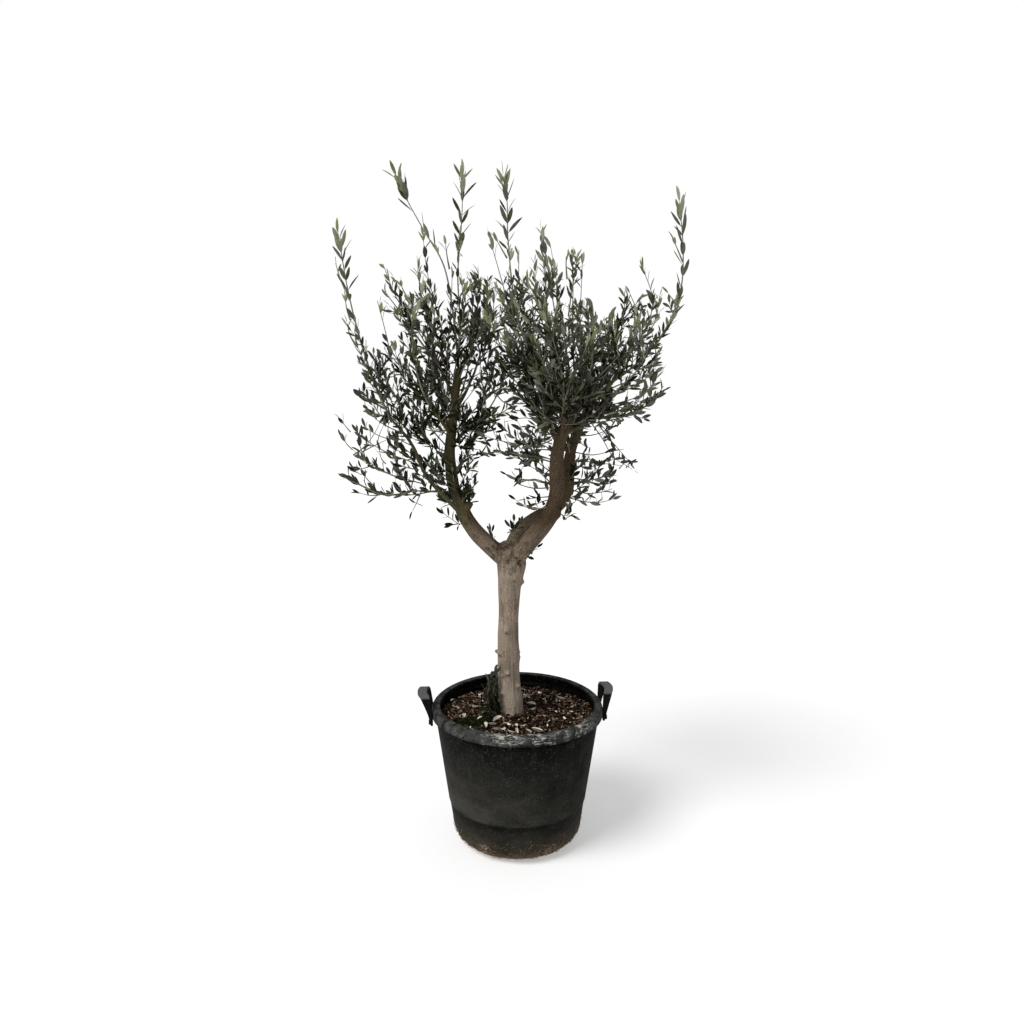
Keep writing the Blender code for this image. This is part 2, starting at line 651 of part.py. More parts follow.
def make_handle(name, turn, material):
    """A strap bent into an arch on the rim's side; it leans out and widens up to its grip."""
    arch = handle_arch()
    last = len(arch) - 1
    shape = bmesh.new()
    rings = []
    for index, (across, height) in enumerate(arch):
        before = arch[max(index - 1, 0)]
        after = arch[min(index + 1, last)]
        along = Vector((after[0] - before[0], after[1] - before[1])).normalized()
        normal = Vector((along.y, -along.x)) * HANDLE_STRAP * 0.5
        rise = max(0.0, (height - HANDLE_SEAT) / (HANDLE_TOP - HANDLE_SEAT))
        seat = max(rim_reach(across + normal.x * side, turn) for side in (1, -1))
        near = seat + GAP + HANDLE_LEANS[name] * rise ** 1.3
        far = near + HANDLE_FOOT_WIDTH + (HANDLE_GRIP_WIDTH - HANDLE_FOOT_WIDTH) * min(1.0, rise * 1.6)
        ring = []
        for radius, side in ((near, 1), (far, 1), (far, -1), (near, -1)):
            ring.append(shape.verts.new((radius, across + normal.x * side, height + normal.y * side)))
        rings.append(ring)
    for low, high in zip(rings, rings[1:]):
        bridge(shape, low, high)
    shape.faces.new(rings[0])
    shape.faces.new(rings[-1])
    bmesh.ops.triangulate(shape, faces=shape.faces)
    shape.transform(Matrix.Rotation(math.radians(turn), 4, "Z"))
    return new_object(name, shape, material)


# --- Trunk and boughs -----------------------------------------------------


class Limb:
    """A limb's middle line with the radius at each of its points."""

    def __init__(self, path, radii, sides, start=None):
        self.path = path
        self.radii = radii
        self.sides = sides
        self.start = start

    def solid(self, clear=0.0):
        """The limb as a bmesh, grown evenly by a clearance."""
        growth = clear / math.cos(math.pi / self.sides)
        path = list(self.path)
        if clear:
            path[0] = path[0] - (path[1] - path[0]).normalized() * clear
            path[-1] = path[-1] + self.tip_direction() * clear
        frames = frames_along(path, self.start)
        return tube(frames, [radius + growth for radius in self.radii], self.sides)

    def tip_direction(self):
        return (self.path[-1] - self.path[-2]).normalized()


def plan_trunk():
    """Root flare, a slim lean shaft and a head that widens into the fork."""
    x, y = TRUNK_CENTRE
    ground = SOIL_HEIGHT + SOIL_MOUND + GAP
    shaft = (
        (0.000, 0.000, ground, 0.0430), (0.000, 0.000, 0.402, 0.0385), (-0.002, 0.000, 0.430, 0.0350),
        (-0.006, 0.000, 0.470, 0.0335), (-0.009, 0.000, 0.580, 0.0335), (-0.008, 0.000, 0.700, 0.0310),
        (-0.005, 0.000, 0.780, 0.0340), (-0.002, 0.000, 0.820, 0.0400), (0.001, 0.000, 0.850, 0.0450),
        (0.001, 0.002, 0.878, 0.0420), (0.001, 0.003, 0.898, 0.0300),
    )
    path = [Vector((x + dx, y + dy, z)) for dx, dy, z, radius in shaft]
    return Limb(path, [radius for dx, dy, z, radius in shaft], 14, Vector((0.0, 0.0, 1.0)))


def plan_limb(spec, limbs):
    """A tapering limb through its points, from its parent's tip or inside its side."""
    points = [Vector(point) for point in spec["points"]]
    start = None
    if spec["tip"]:
        parent = limbs[spec["on"]]
        start = parent.tip_direction()
        points.insert(0, parent.path[-1] + start * GAP)
    path = smooth_path(points, LIMB_STEP)
    lengths = lengths_along(path)
    first, last = spec["radii"]
    radii = [first + (last - first) * length / lengths[-1] for length in lengths]
    return Limb(path, radii, spec["sides"], start)


def limbs_meet(one, other):
    """Whether two limbs come within reach of each other."""
    for point, radius in zip(one.path, one.radii):
        for near, size in zip(other.path, other.radii):
            if (point - near).length < radius + size + LIMB_STEP * 0.5:
                return True
    return False


def make_limbs(material):
    """Each limb gives way to the trunk and to the limbs that were made before it."""
    limbs = {"trunk": plan_trunk()}
    new_object("trunk", limbs["trunk"].solid(), material).data.shade_smooth()
    for name, spec in LIMBS.items():
        limb = plan_limb(spec, limbs)
        item = new_object(name, limb.solid(), material)
        for other_name, other in limbs.items():
            stands_on_it = spec["tip"] and other_name == spec["on"]
            if limbs_meet(limb, other) and not stands_on_it:
                cutter = new_object("limb_cutter", other.solid(GAP))
                cutter.hide_render = True
                cut(item, cutter)
                remove_object(cutter)
        keep_largest_shell(item)
        item.data.shade_smooth()
        item.data.set_sharp_from_angle(angle=math.radians(50.0))
        limbs[name] = limb
    return limbs


# --- Foliage --------------------------------------------------------------


class Space:
    """Which mass a place belongs to: the one whose stem is nearest for its reach."""

    def __init__(self, stems, limbs):
        self.low = np.array((CROWN_LEFT, CROWN_FRONT, CROWN_BOTTOM))
        self.high = np.array((CROWN_RIGHT, CROWN_BACK, CROWN_TOP))
        self.names = list(stems)
        starts, ends, owners = [], [], []
        for index, stem in enumerate(stems.values()):
            for before, after in zip(stem, stem[1:]):
                starts.append(before[:])
                ends.append(after[:])
                owners.append(index)
        self.stem_lines = (np.array(starts), np.array(ends))
        self.owners = np.array(owners)
        self.reaches = np.array([MASSES[name]["reach"] for name in self.names])
        starts, ends, radii = [], [], []
        for limb in limbs.values():
            sizes = zip(limb.radii, limb.radii[1:])
            for before, after, size in zip(limb.path, limb.path[1:], sizes):
                starts.append(before[:])
                ends.append(after[:])
                radii.append(max(size))
        self.limb_lines = (np.array(starts), np.array(ends))
        self.limb_radii = np.array(radii)

    @staticmethod
    def distances(points, lines):
        """The distance from each point to each line segment."""
        starts, ends = lines
        spans = ends - starts
        aims = points[:, None, :] - starts[None, :, :]
        shares = (aims * spans).sum(axis=2) / (spans * spans).sum(axis=1)
        nearest = starts + np.clip(shares, 0.0, 1.0)[:, :, None] * spans
        return np.linalg.norm(points[:, None, :] - nearest, axis=2)

    def holds(self, name, points):
        """Whether all the points lie in the mass's own space, clear of every limb."""
        points = np.array([point[:] for point in points])
        if (points < self.low).any() or (points > self.high).any():
            return False
        to_limbs = self.distances(points, self.limb_lines) - self.limb_radii
        if to_limbs.min() < MARGIN:
            return False
        to_lines = self.distances(points, self.stem_lines)
        to_stems = np.array([to_lines[:, self.owners == index].min(axis=1)
                             for index in range(len(self.names))])
        own = self.names.index(name)
        mine = (to_stems[own] + MARGIN) / self.reaches[own]
        others = np.delete((to_stems - MARGIN) / self.reaches[:, None], own, axis=0)
        return bool((mine < 1.0).all() and (mine < others.min(axis=0)).all())


def stem_feet(limb, targets):
    """Where the stems that share a limb's flat tip stand, each on the side it heads for."""
    centre, axis, across = frames_along(limb.path, limb.start)[-1]
    if len(targets) == 1:
        return [centre + axis * GAP]
    upward = axis.cross(across)
    angles = []
    for target in targets:
        aim = Vector(target) - centre
        angles.append(math.atan2(aim.dot(upward), aim.dot(across)))
    order = sorted(range(len(targets)), key=lambda index: angles[index])
    slot = 2.0 * math.pi / len(targets)
    phase = sum(angles[index] - slot * place for place, index in enumerate(order)) / len(targets)
    spread = (STEM_RADIUS + GAP) / math.sin(slot * 0.5)
    feet = {}
    for place, index in enumerate(order):
        angle = phase + slot * place
        aside = across * math.cos(angle) + upward * math.sin(angle)
        feet[index] = centre + axis * GAP + aside * spread
    return [feet[index] for index in range(len(targets))]


def plan_stems(limbs):
    """Each stem's middle line, standing on its bough's tip."""
    stems = {}
    for limb_name, limb in limbs.items():
        names = [name for name, spec in MASSES.items() if spec["on"] == limb_name]
        feet = stem_feet(limb, [MASSES[name]["points"][0] for name in names]) if names else []
        for name, foot in zip(names, feet):
            rise = foot + limb.tip_direction() * STEM_RISE
            stems[name] = smooth_path([foot, rise, *MASSES[name]["points"]], STEM_STEP)
    return stems


def blade(frames, radii, length, width):
    """A three-sided twig or stalk that runs on into one leaf, with a peak on its midrib."""
    shape = bmesh.new()
    rings = [ring_round(shape, frame, radius, TWIG_SIDES) for frame, radius in zip(frames, radii)]
    point, along, across = frames[-1]
    edge = along.cross(across).normalized() * width * 0.5
    middle = point + along * length * LEAF_WIDEST
    peak = shape.verts.new(point + along * length * LEAF_PEAK + across * LEAF_THICKNESS)
    rings.append([peak, shape.verts.new(middle + edge), shape.verts.new(middle - edge)])
    rings.append([shape.verts.new(point + along * length)])
    for low, high in zip(rings, rings[1:]):
        bridge(shape, low, high)
    shape.faces.new(rings[0])
    bmesh.ops.triangulate(shape, faces=shape.faces)
    return shape


class Mass:
    """Grows one mass of foliage from its stem and fuses it."""

    def __init__(self, name, stem, axis, space, material):
        self.name = name
        self.frames = frames_along(stem, axis)
        self.length = lengths_along(stem)[-1]
        self.space = space
        self.material = material
        self.chance = random.Random(name)
        self.parts = bpy.data.collections.new(name + "_parts")
        bpy.context.scene.collection.children.link(self.parts)

    def flat_side(self, along, across, place, spread):
        """A direction out of the middle of one of the three flats, taken in turn."""
        angle = math.radians(60.0 + 120.0 * place + self.chance.uniform(-spread, spread))
        return Matrix.Rotation(angle, 3, along) @ across

    def add_leaf(self, frame, place, size):
        """Adds a leaf, unless it would leave the mass's space or touch a limb."""
        point, along, across = frame
        aside = self.flat_side(along, across, place, 0.0)
        angle = math.radians(LEAF_ANGLE + self.chance.uniform(-LEAF_ANGLE_SPREAD, LEAF_ANGLE_SPREAD))
        aim = (along * math.cos(angle) + aside * math.sin(angle)).normalized()
        edge = along.cross(aside).normalized()
        length = LEAF_LENGTH * size * (1.0 + self.chance.uniform(-LEAF_LENGTH_SPREAD, LEAF_LENGTH_SPREAD))
        width = LEAF_WIDTH * size
        middle = point + aim * length * LEAF_WIDEST
        probes = [point + aim * length * share for share in LEAF_PROBES]
        probes += [middle + edge * width * 0.5, middle - edge * width * 0.5]
        if self.space.holds(self.name, probes):
            shape = blade([(point, aim, edge.cross(aim))], [LEAF_STALK], length, width)
            new_object("leaf", shape, collection=self.parts)

    def add_leaves(self, frames, length, first, last, size):
        """Leaves one by one round a twig from one distance to another."""
        count = max(0, int((last - first) / LEAF_SPACING) + 1)
        offset = self.chance.randrange(TWIG_SIDES)
        for index in range(count):
            share = (first + index * LEAF_SPACING) / length
            self.add_leaf(frame_at(frames, share), index + offset, size)

    def add_twig(self, share, place, reach):
        """Adds a twig as long as there is room for, with its leaves."""
        root, along, across = frame_at(self.frames, share)
        for turn in range(TWIG_SIDES):
            aside = self.flat_side(along, across, place + turn, TURN_SPREAD)
            angle = TWIG_ANGLE + self.chance.uniform(-TWIG_ANGLE_SPREAD, TWIG_ANGLE_SPREAD)
            angle = math.radians(angle)
            aim = along * math.cos(angle) + aside * math.sin(angle) + Vector((0.0, 0.0, TWIG_LIFT))
            aim.normalize()
            for shrink in TWIG_SHRINKS:
                bare = reach * shrink - LEAF_LENGTH
                probes = [root + aim * reach * shrink * part for part in TWIG_PROBES]
                if bare > TWIG_SHORTEST and self.space.holds(self.name, probes):
                    frames = frames_along([root, root + aim * bare])
                    shape = blade(frames, (TWIG_RADIUS, TWIG_TIP_RADIUS), LEAF_LENGTH, LEAF_WIDTH)
                    new_object("twig", shape, collection=self.parts)
                    self.add_leaves(frames, bare, LEAF_SPACING * 0.8, bare - LEAF_STALK * 3.0, 1.0)
                    return

    def grow(self):
        spec = MASSES[self.name]
        first, last = spec["span"]
        for index in range(spec["twigs"]):
            place = (index + 0.5) / spec["twigs"]
            share = first + (last - first) * place
            taper = 1.0 - TWIG_TAPER * place ** 1.5
            reach = spec["reach"] * taper * self.chance.uniform(*TWIG_LENGTHS)
            self.add_twig(share, index, reach)
        self.add_leaves(self.frames, self.length, self.length * last, self.length, SHOOT_LEAF)

    def fuse(self):
        """Joins stem, twigs and leaves into one solid."""
        lengths = lengths_along([point for point, along, across in self.frames])
        radii = [STEM_RADIUS + (STEM_TIP_RADIUS - STEM_RADIUS) * length / self.length for length in lengths]
        shape = blade(self.frames, radii, LEAF_LENGTH * SHOOT_LEAF, LEAF_WIDTH * SHOOT_LEAF)
        item = new_object(self.name, shape, self.material)
        modifier = item.modifiers.new("join", "BOOLEAN")
        modifier.operation = "UNION"
        modifier.operand_type = "COLLECTION"
        modifier.collection = self.parts
        modifier.solver = "EXACT"
        apply_modifiers(item)
        for part in list(self.parts.objects):
            remove_object(part)
        bpy.data.collections.remove(self.parts)
        keep_largest_shell(item)
        merge_short_edges(item)


def make_foliage(limbs, material):
    stems = plan_stems(limbs)
    space = Space(stems, limbs)
    for name, stem in stems.items():
        axis = limbs[MASSES[name]["on"]].tip_direction()
        mass = Mass(name, stem, axis, space, material)
        mass.grow()
        mass.fuse()


# --- The plant in its tub -------------------------------------------------


def main():
    for item in list(bpy.data.objects):
        bpy.data.objects.remove(item)
    plastic = make_material("black_plastic", (0.020, 0.020, 0.021), 0.60)
    soil = make_material("soil", (0.045, 0.026, 0.018), 0.95)
    bark = make_material("olive_bark", (0.215, 0.172, 0.130), 0.90)
    leaves = make_material("olive_leaves", (0.060, 0.080, 0.045), 0.60)
    make_tub(plastic)
    make_soil(soil)
    make_handle("handle_right", HANDLE_TURN, plastic)
    make_handle("handle_left", 180.0 + HANDLE_TURN, plastic)
    limbs = make_limbs(bark)
    make_foliage(limbs, leaves)


main()
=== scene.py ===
import json
import math
import random

import bmesh
import bpy
import numpy as np
from mathutils import Matrix, Vector, noise
from mathutils.kdtree import KDTree

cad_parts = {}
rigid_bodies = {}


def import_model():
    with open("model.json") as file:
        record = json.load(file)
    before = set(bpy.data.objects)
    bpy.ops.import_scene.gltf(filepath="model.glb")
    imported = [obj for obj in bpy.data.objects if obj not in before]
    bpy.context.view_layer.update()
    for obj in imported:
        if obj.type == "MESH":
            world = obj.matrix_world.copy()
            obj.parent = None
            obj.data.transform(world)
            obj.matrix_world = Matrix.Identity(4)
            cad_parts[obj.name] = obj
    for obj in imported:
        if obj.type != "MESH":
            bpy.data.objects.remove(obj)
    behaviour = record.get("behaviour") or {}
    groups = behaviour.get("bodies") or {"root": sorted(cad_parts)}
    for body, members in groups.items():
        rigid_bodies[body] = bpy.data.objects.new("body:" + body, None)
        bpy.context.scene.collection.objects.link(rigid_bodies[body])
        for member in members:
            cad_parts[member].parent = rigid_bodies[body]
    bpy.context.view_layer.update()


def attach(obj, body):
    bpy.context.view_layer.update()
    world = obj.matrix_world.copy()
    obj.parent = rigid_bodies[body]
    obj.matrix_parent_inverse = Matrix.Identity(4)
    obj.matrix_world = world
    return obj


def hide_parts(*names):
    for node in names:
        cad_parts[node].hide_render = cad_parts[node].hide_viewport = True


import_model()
print("frame loaded")


# small helpers for node trees, shared by materials and geometry


def addNode(tree, kind, inputs=None, **settings):
    made = tree.nodes.new(kind)
    for key, value in settings.items():
        setattr(made, key, value)
    for key, value in (inputs or {}).items():
        if isinstance(value, bpy.types.NodeSocket):
            tree.links.new(value, made.inputs[key])
        else:
            made.inputs[key].default_value = value
    return made


def startMaterial(name, roughness, specular=0.35):
    material = bpy.data.materials.new(name)
    material.use_nodes = True
    shader = material.node_tree.nodes["Principled BSDF"]
    shader.inputs["Roughness"].default_value = roughness
    shader.inputs["Specular IOR Level"].default_value = specular
    return material, material.node_tree, shader


def objectPattern(tree, stretch=(1.0, 1.0, 1.0)):
    place = addNode(tree, "ShaderNodeTexCoord").outputs["Object"]
    return addNode(tree, "ShaderNodeMapping", {"Vector": place, "Scale": stretch}).outputs["Vector"]


def cloud(tree, vector, scale, detail=4.0, roughness=0.55):
    made = addNode(tree, "ShaderNodeTexNoise",
                   {"Vector": vector, "Scale": scale, "Detail": detail, "Roughness": roughness})
    return made.outputs["Fac"]


def ramp(tree, value, low, high):
    # 0 below low, 1 above high; low may be the larger one
    made = addNode(tree, "ShaderNodeMapRange", {"Value": value, "From Min": low, "From Max": high})
    return made.outputs["Result"]


def calculate(tree, operation, first, second):
    return addNode(tree, "ShaderNodeMath", {0: first, 1: second}, operation=operation).outputs[0]


def multiply(tree, first, second):
    return calculate(tree, "MULTIPLY", first, second)


def distanceTo(tree, vector, place):
    return addNode(tree, "ShaderNodeVectorMath", {0: vector, 1: place},
                   operation="DISTANCE").outputs["Value"]


def blendColours(tree, share, first, second):
    made = addNode(tree, "ShaderNodeMix", {"Factor": share}, data_type="RGBA")
    for index, colour in ((6, first), (7, second)):
        if isinstance(colour, bpy.types.NodeSocket):
            tree.links.new(colour, made.inputs[index])
        else:
            made.inputs[index].default_value = (*colour, 1.0)
    return made.outputs[2]


def addBump(tree, shader, height, strength, distance):
    made = addNode(tree, "ShaderNodeBump", {"Height": height, "Strength": strength, "Distance": distance})
    tree.links.new(made.outputs["Normal"], shader.inputs["Normal"])


def objectHeight(tree):
    place = addNode(tree, "ShaderNodeTexCoord")
    return addNode(tree, "ShaderNodeSeparateXYZ", {0: place.outputs["Object"]}).outputs


# meshes


def addPiece(name, mesh, materials, smooth=True):
    piece = bpy.data.objects.new(name, mesh)
    bpy.context.scene.collection.objects.link(piece)
    for material in materials:
        mesh.materials.append(material)
    if smooth:
        mesh.shade_smooth()
    return piece


def meshFromBmesh(name, shape, outward=True):
    if outward:
        bmesh.ops.recalc_face_normals(shape, faces=shape.faces)
    mesh = bpy.data.meshes.new(name)
    shape.to_mesh(mesh)
    shape.free()
    return mesh


def settle(source, name):
    # the evaluated result as a plain mesh on a fresh object at the origin
    graph = bpy.context.evaluated_depsgraph_get()
    mesh = bpy.data.meshes.new_from_object(source.evaluated_get(graph))
    mesh.name = name
    bpy.data.objects.remove(source)
    piece = bpy.data.objects.new(name, mesh)
    bpy.context.scene.collection.objects.link(piece)
    return piece


def finishPiece(piece, slot, *nodes):
    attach(piece, "root")
    if nodes:
        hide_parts(*nodes)


def smoothPath(points, step):
    # a Catmull-Rom curve through the points
    points = [Vector(point) for point in points]
    padded = [points[0] * 2.0 - points[1], *points, points[-1] * 2.0 - points[-2]]
    path = [points[0]]
    for index in range(1, len(padded) - 2):
        a, b, c, d = padded[index - 1:index + 3]
        count = max(1, round((c - b).length / step))
        for part in range(1, count + 1):
            t = part / count
            path.append(0.5 * (2.0 * b + (c - a) * t + (2.0 * a - 5.0 * b + 4.0 * c - d) * t ** 2
                               + (3.0 * b - a - 3.0 * c + d) * t ** 3))
    return path


def lengthsAlong(path):
    total = 0.0
    lengths = [0.0]
    for before, after in zip(path, path[1:]):
        total += (after - before).length
        lengths.append(total)
    return lengths


def framesAlong(path, start=None):
    # point, direction and a vector across that doesn't twist
    last = len(path) - 1
    frames = []
    across = None
    for index, point in enumerate(path):
        along = (path[min(index + 1, last)] - path[max(index - 1, 0)]).normalized()
        if index == 0 and start:
            along = start
        if across is None:
            across = along.orthogonal().normalized()
        across = (across - along * across.dot(along)).normalized()
        frames.append((point, along, across))
    return frames


# camera, light and floor

view = {"place": (-0.016, -2.382, 1.352), "tilt": 81.7, "focalPixels": 820.0, "imagePixels": 1024.0,
        "sensor": 36.0}
studio = {"sky": 0.5, "shown": 1.0, "sunTurn": -52.0, "sunHeight": 52.0, "sunSize": 28.0, "sun": 2.7,
          "floor": 0.62, "floorGlow": 0.34, "floorReach": 40.0}


def setCamera():
    lens = bpy.data.cameras.new("camera")
    lens.sensor_width = view["sensor"]
    lens.lens = view["focalPixels"] / view["imagePixels"] * view["sensor"]
    camera = bpy.data.objects.new("camera", lens)
    camera.location = view["place"]
    camera.rotation_euler = (math.radians(view["tilt"]), 0.0, 0.0)
    bpy.context.scene.collection.objects.link(camera)
    bpy.context.scene.camera = camera


def setStudio():
    world = bpy.data.worlds.new("studio")
    bpy.context.scene.world = world
    world.use_nodes = True
    tree = world.node_tree
    sky = tree.nodes["Background"]
    sky.inputs["Color"].default_value = (1.0, 1.0, 1.0, 1.0)
    seen = addNode(tree, "ShaderNodeLightPath").outputs["Is Camera Ray"]
    strength = addNode(tree, "ShaderNodeMapRange",
                       {"Value": seen, "To Min": studio["sky"], "To Max": studio["shown"]})
    tree.links.new(strength.outputs["Result"], sky.inputs["Strength"])
    light = bpy.data.lights.new("sun", "SUN")
    light.angle = math.radians(studio["sunSize"])
    light.energy = studio["sun"]
    lamp = bpy.data.objects.new("sun", light)
    lamp.rotation_euler = (math.radians(90.0 - studio["sunHeight"]), 0.0, math.radians(studio["sunTurn"]))
    bpy.context.scene.collection.objects.link(lamp)
    bpy.context.scene.view_settings.view_transform = "Standard"
    shape = bmesh.new()
    bmesh.ops.create_grid(shape, x_segments=1, y_segments=1, size=studio["floorReach"])
    floorPaint, tree, shader = startMaterial("floorPaint", 0.9, 0.0)
    shader.inputs["Base Color"].default_value = (studio["floor"], studio["floor"], studio["floor"], 1.0)
    shader.inputs["Emission Color"].default_value = (1.0, 1.0, 1.0, 1.0)
    shader.inputs["Emission Strength"].default_value = studio["floorGlow"]
    floor = addPiece("floor", meshFromBmesh("floor", shape, False), [floorPaint])


setCamera()
setStudio()
print("camera, light and floor set")


# tub: a turned shell with a rolled rim

tub = {
    "height": 0.42, "footRadius": 0.191, "topRadius": 0.2465, "corner": 0.06, "wall": 0.004,
    "stepHeight": 0.13, "step": 0.0026, "rimRadius": 0.258, "mouthRadius": 0.2315, "rimDepth": 0.031,
    "sides": 192, "waviness": 0.0007, "backLift": 0.0085, "holes": 6, "holeRadius": 0.007,
    "holeHeight": 0.03, "holeSlope": 0.45,
}


def tubWallRadius(height):
    share = height / (tub["height"] - tub["rimDepth"])
    return tub["footRadius"] + (tub["topRadius"] - tub["footRadius"]) * share


def arcPoints(centre, radius, first, last, count):
    points = []
    for index in range(count + 1):
        angle = math.radians(first + (last - first) * index / count)
        points.append((centre[0] + radius * math.cos(angle), centre[1] + radius * math.sin(angle)))
    return points


def tubOutline():
    # from the middle of the underside, out, up the wall, over the rim and down inside to the floor
    top = tub["height"] - tub["rimDepth"]
    corner = tub["corner"]
    foot = tubWallRadius(corner) - tub["step"]
    outline = [(0.0, 0.0), (0.06, 0.0), (0.11, 0.0)]
    outline += arcPoints((foot - corner, corner), corner, -90.0, 0.0, 12)
    outline.append((tubWallRadius(tub["stepHeight"]) - tub["step"], tub["stepHeight"] - 0.0035))
    outline += [(tubWallRadius(tub["stepHeight"]) - 0.0004, tub["stepHeight"] - 0.0008),
                (tubWallRadius(tub["stepHeight"]) + 0.0004, tub["stepHeight"] + 0.002)]
    for index in range(1, 15):
        height = tub["stepHeight"] + (top - 0.012 - tub["stepHeight"]) * index / 14
        outline.append((tubWallRadius(height), height))
    ledge = tubWallRadius(top)
    outline += [(ledge + 0.0002, top - 0.009), (ledge + 0.0016, top - 0.0078),
                (ledge + 0.0018, top - 0.001)]
    # the rolled band: a tight turn below, a bowed face, a wide crown and the turn down inside
    outline += [(ledge + 0.0035, top + 0.0003), (tub["rimRadius"] - 0.0035, top + 0.0004)]
    outline += arcPoints((tub["rimRadius"] - 0.0035, top + 0.0039), 0.0035, -80.0, 0.0, 4)
    outline += [(tub["rimRadius"], top + 0.012)]
    outline += arcPoints((tub["rimRadius"] - 0.0095, tub["height"] - 0.0095), 0.0095, 8.0, 90.0, 7)
    inner = tub["mouthRadius"]
    outline += [(inner + 0.01, tub["height"] - 0.0003)]
    outline += arcPoints((inner + 0.0062, tub["height"] - 0.0064), 0.0062, 100.0, 180.0, 5)
    outline += [(inner, tub["height"] - 0.0186), (inner + 0.002, tub["height"] - 0.0196)]
    outline += [(tubWallRadius(top) - tub["wall"], top - 0.002)]
    for height in (0.34, 0.26, 0.18, 0.1):
        outline.append((tubWallRadius(height) - tub["wall"], height))
    size = corner - tub["wall"]
    outline += arcPoints((foot - tub["wall"] - size, tub["wall"] + size), size, 0.0, -90.0, 8)
    outline += [(0.08, tub["wall"]), (0.0, tub["wall"])]
    return outline


def joinRings(shape, rings, sides):
    # a ring of a single corner closes to a point
    for low, high in zip(rings, rings[1:]):
        for index in range(sides):
            after = (index + 1) % sides
            corners = [low[index % len(low)], low[after % len(low)],
                       high[after % len(high)], high[index % len(high)]]
            shape.faces.new(list(dict.fromkeys(corners)))


def turn(outline, sides):
    shape = bmesh.new()
    rings = []
    for radius, height in outline:
        if radius == 0.0:
            rings.append([shape.verts.new((0.0, 0.0, height))])
            continue
        ring = []
        for index in range(sides):
            angle = 2.0 * math.pi * index / sides
            ring.append(shape.verts.new((radius * math.cos(angle), radius * math.sin(angle), height)))
        rings.append(ring)
    joinRings(shape, rings, sides)
    return shape


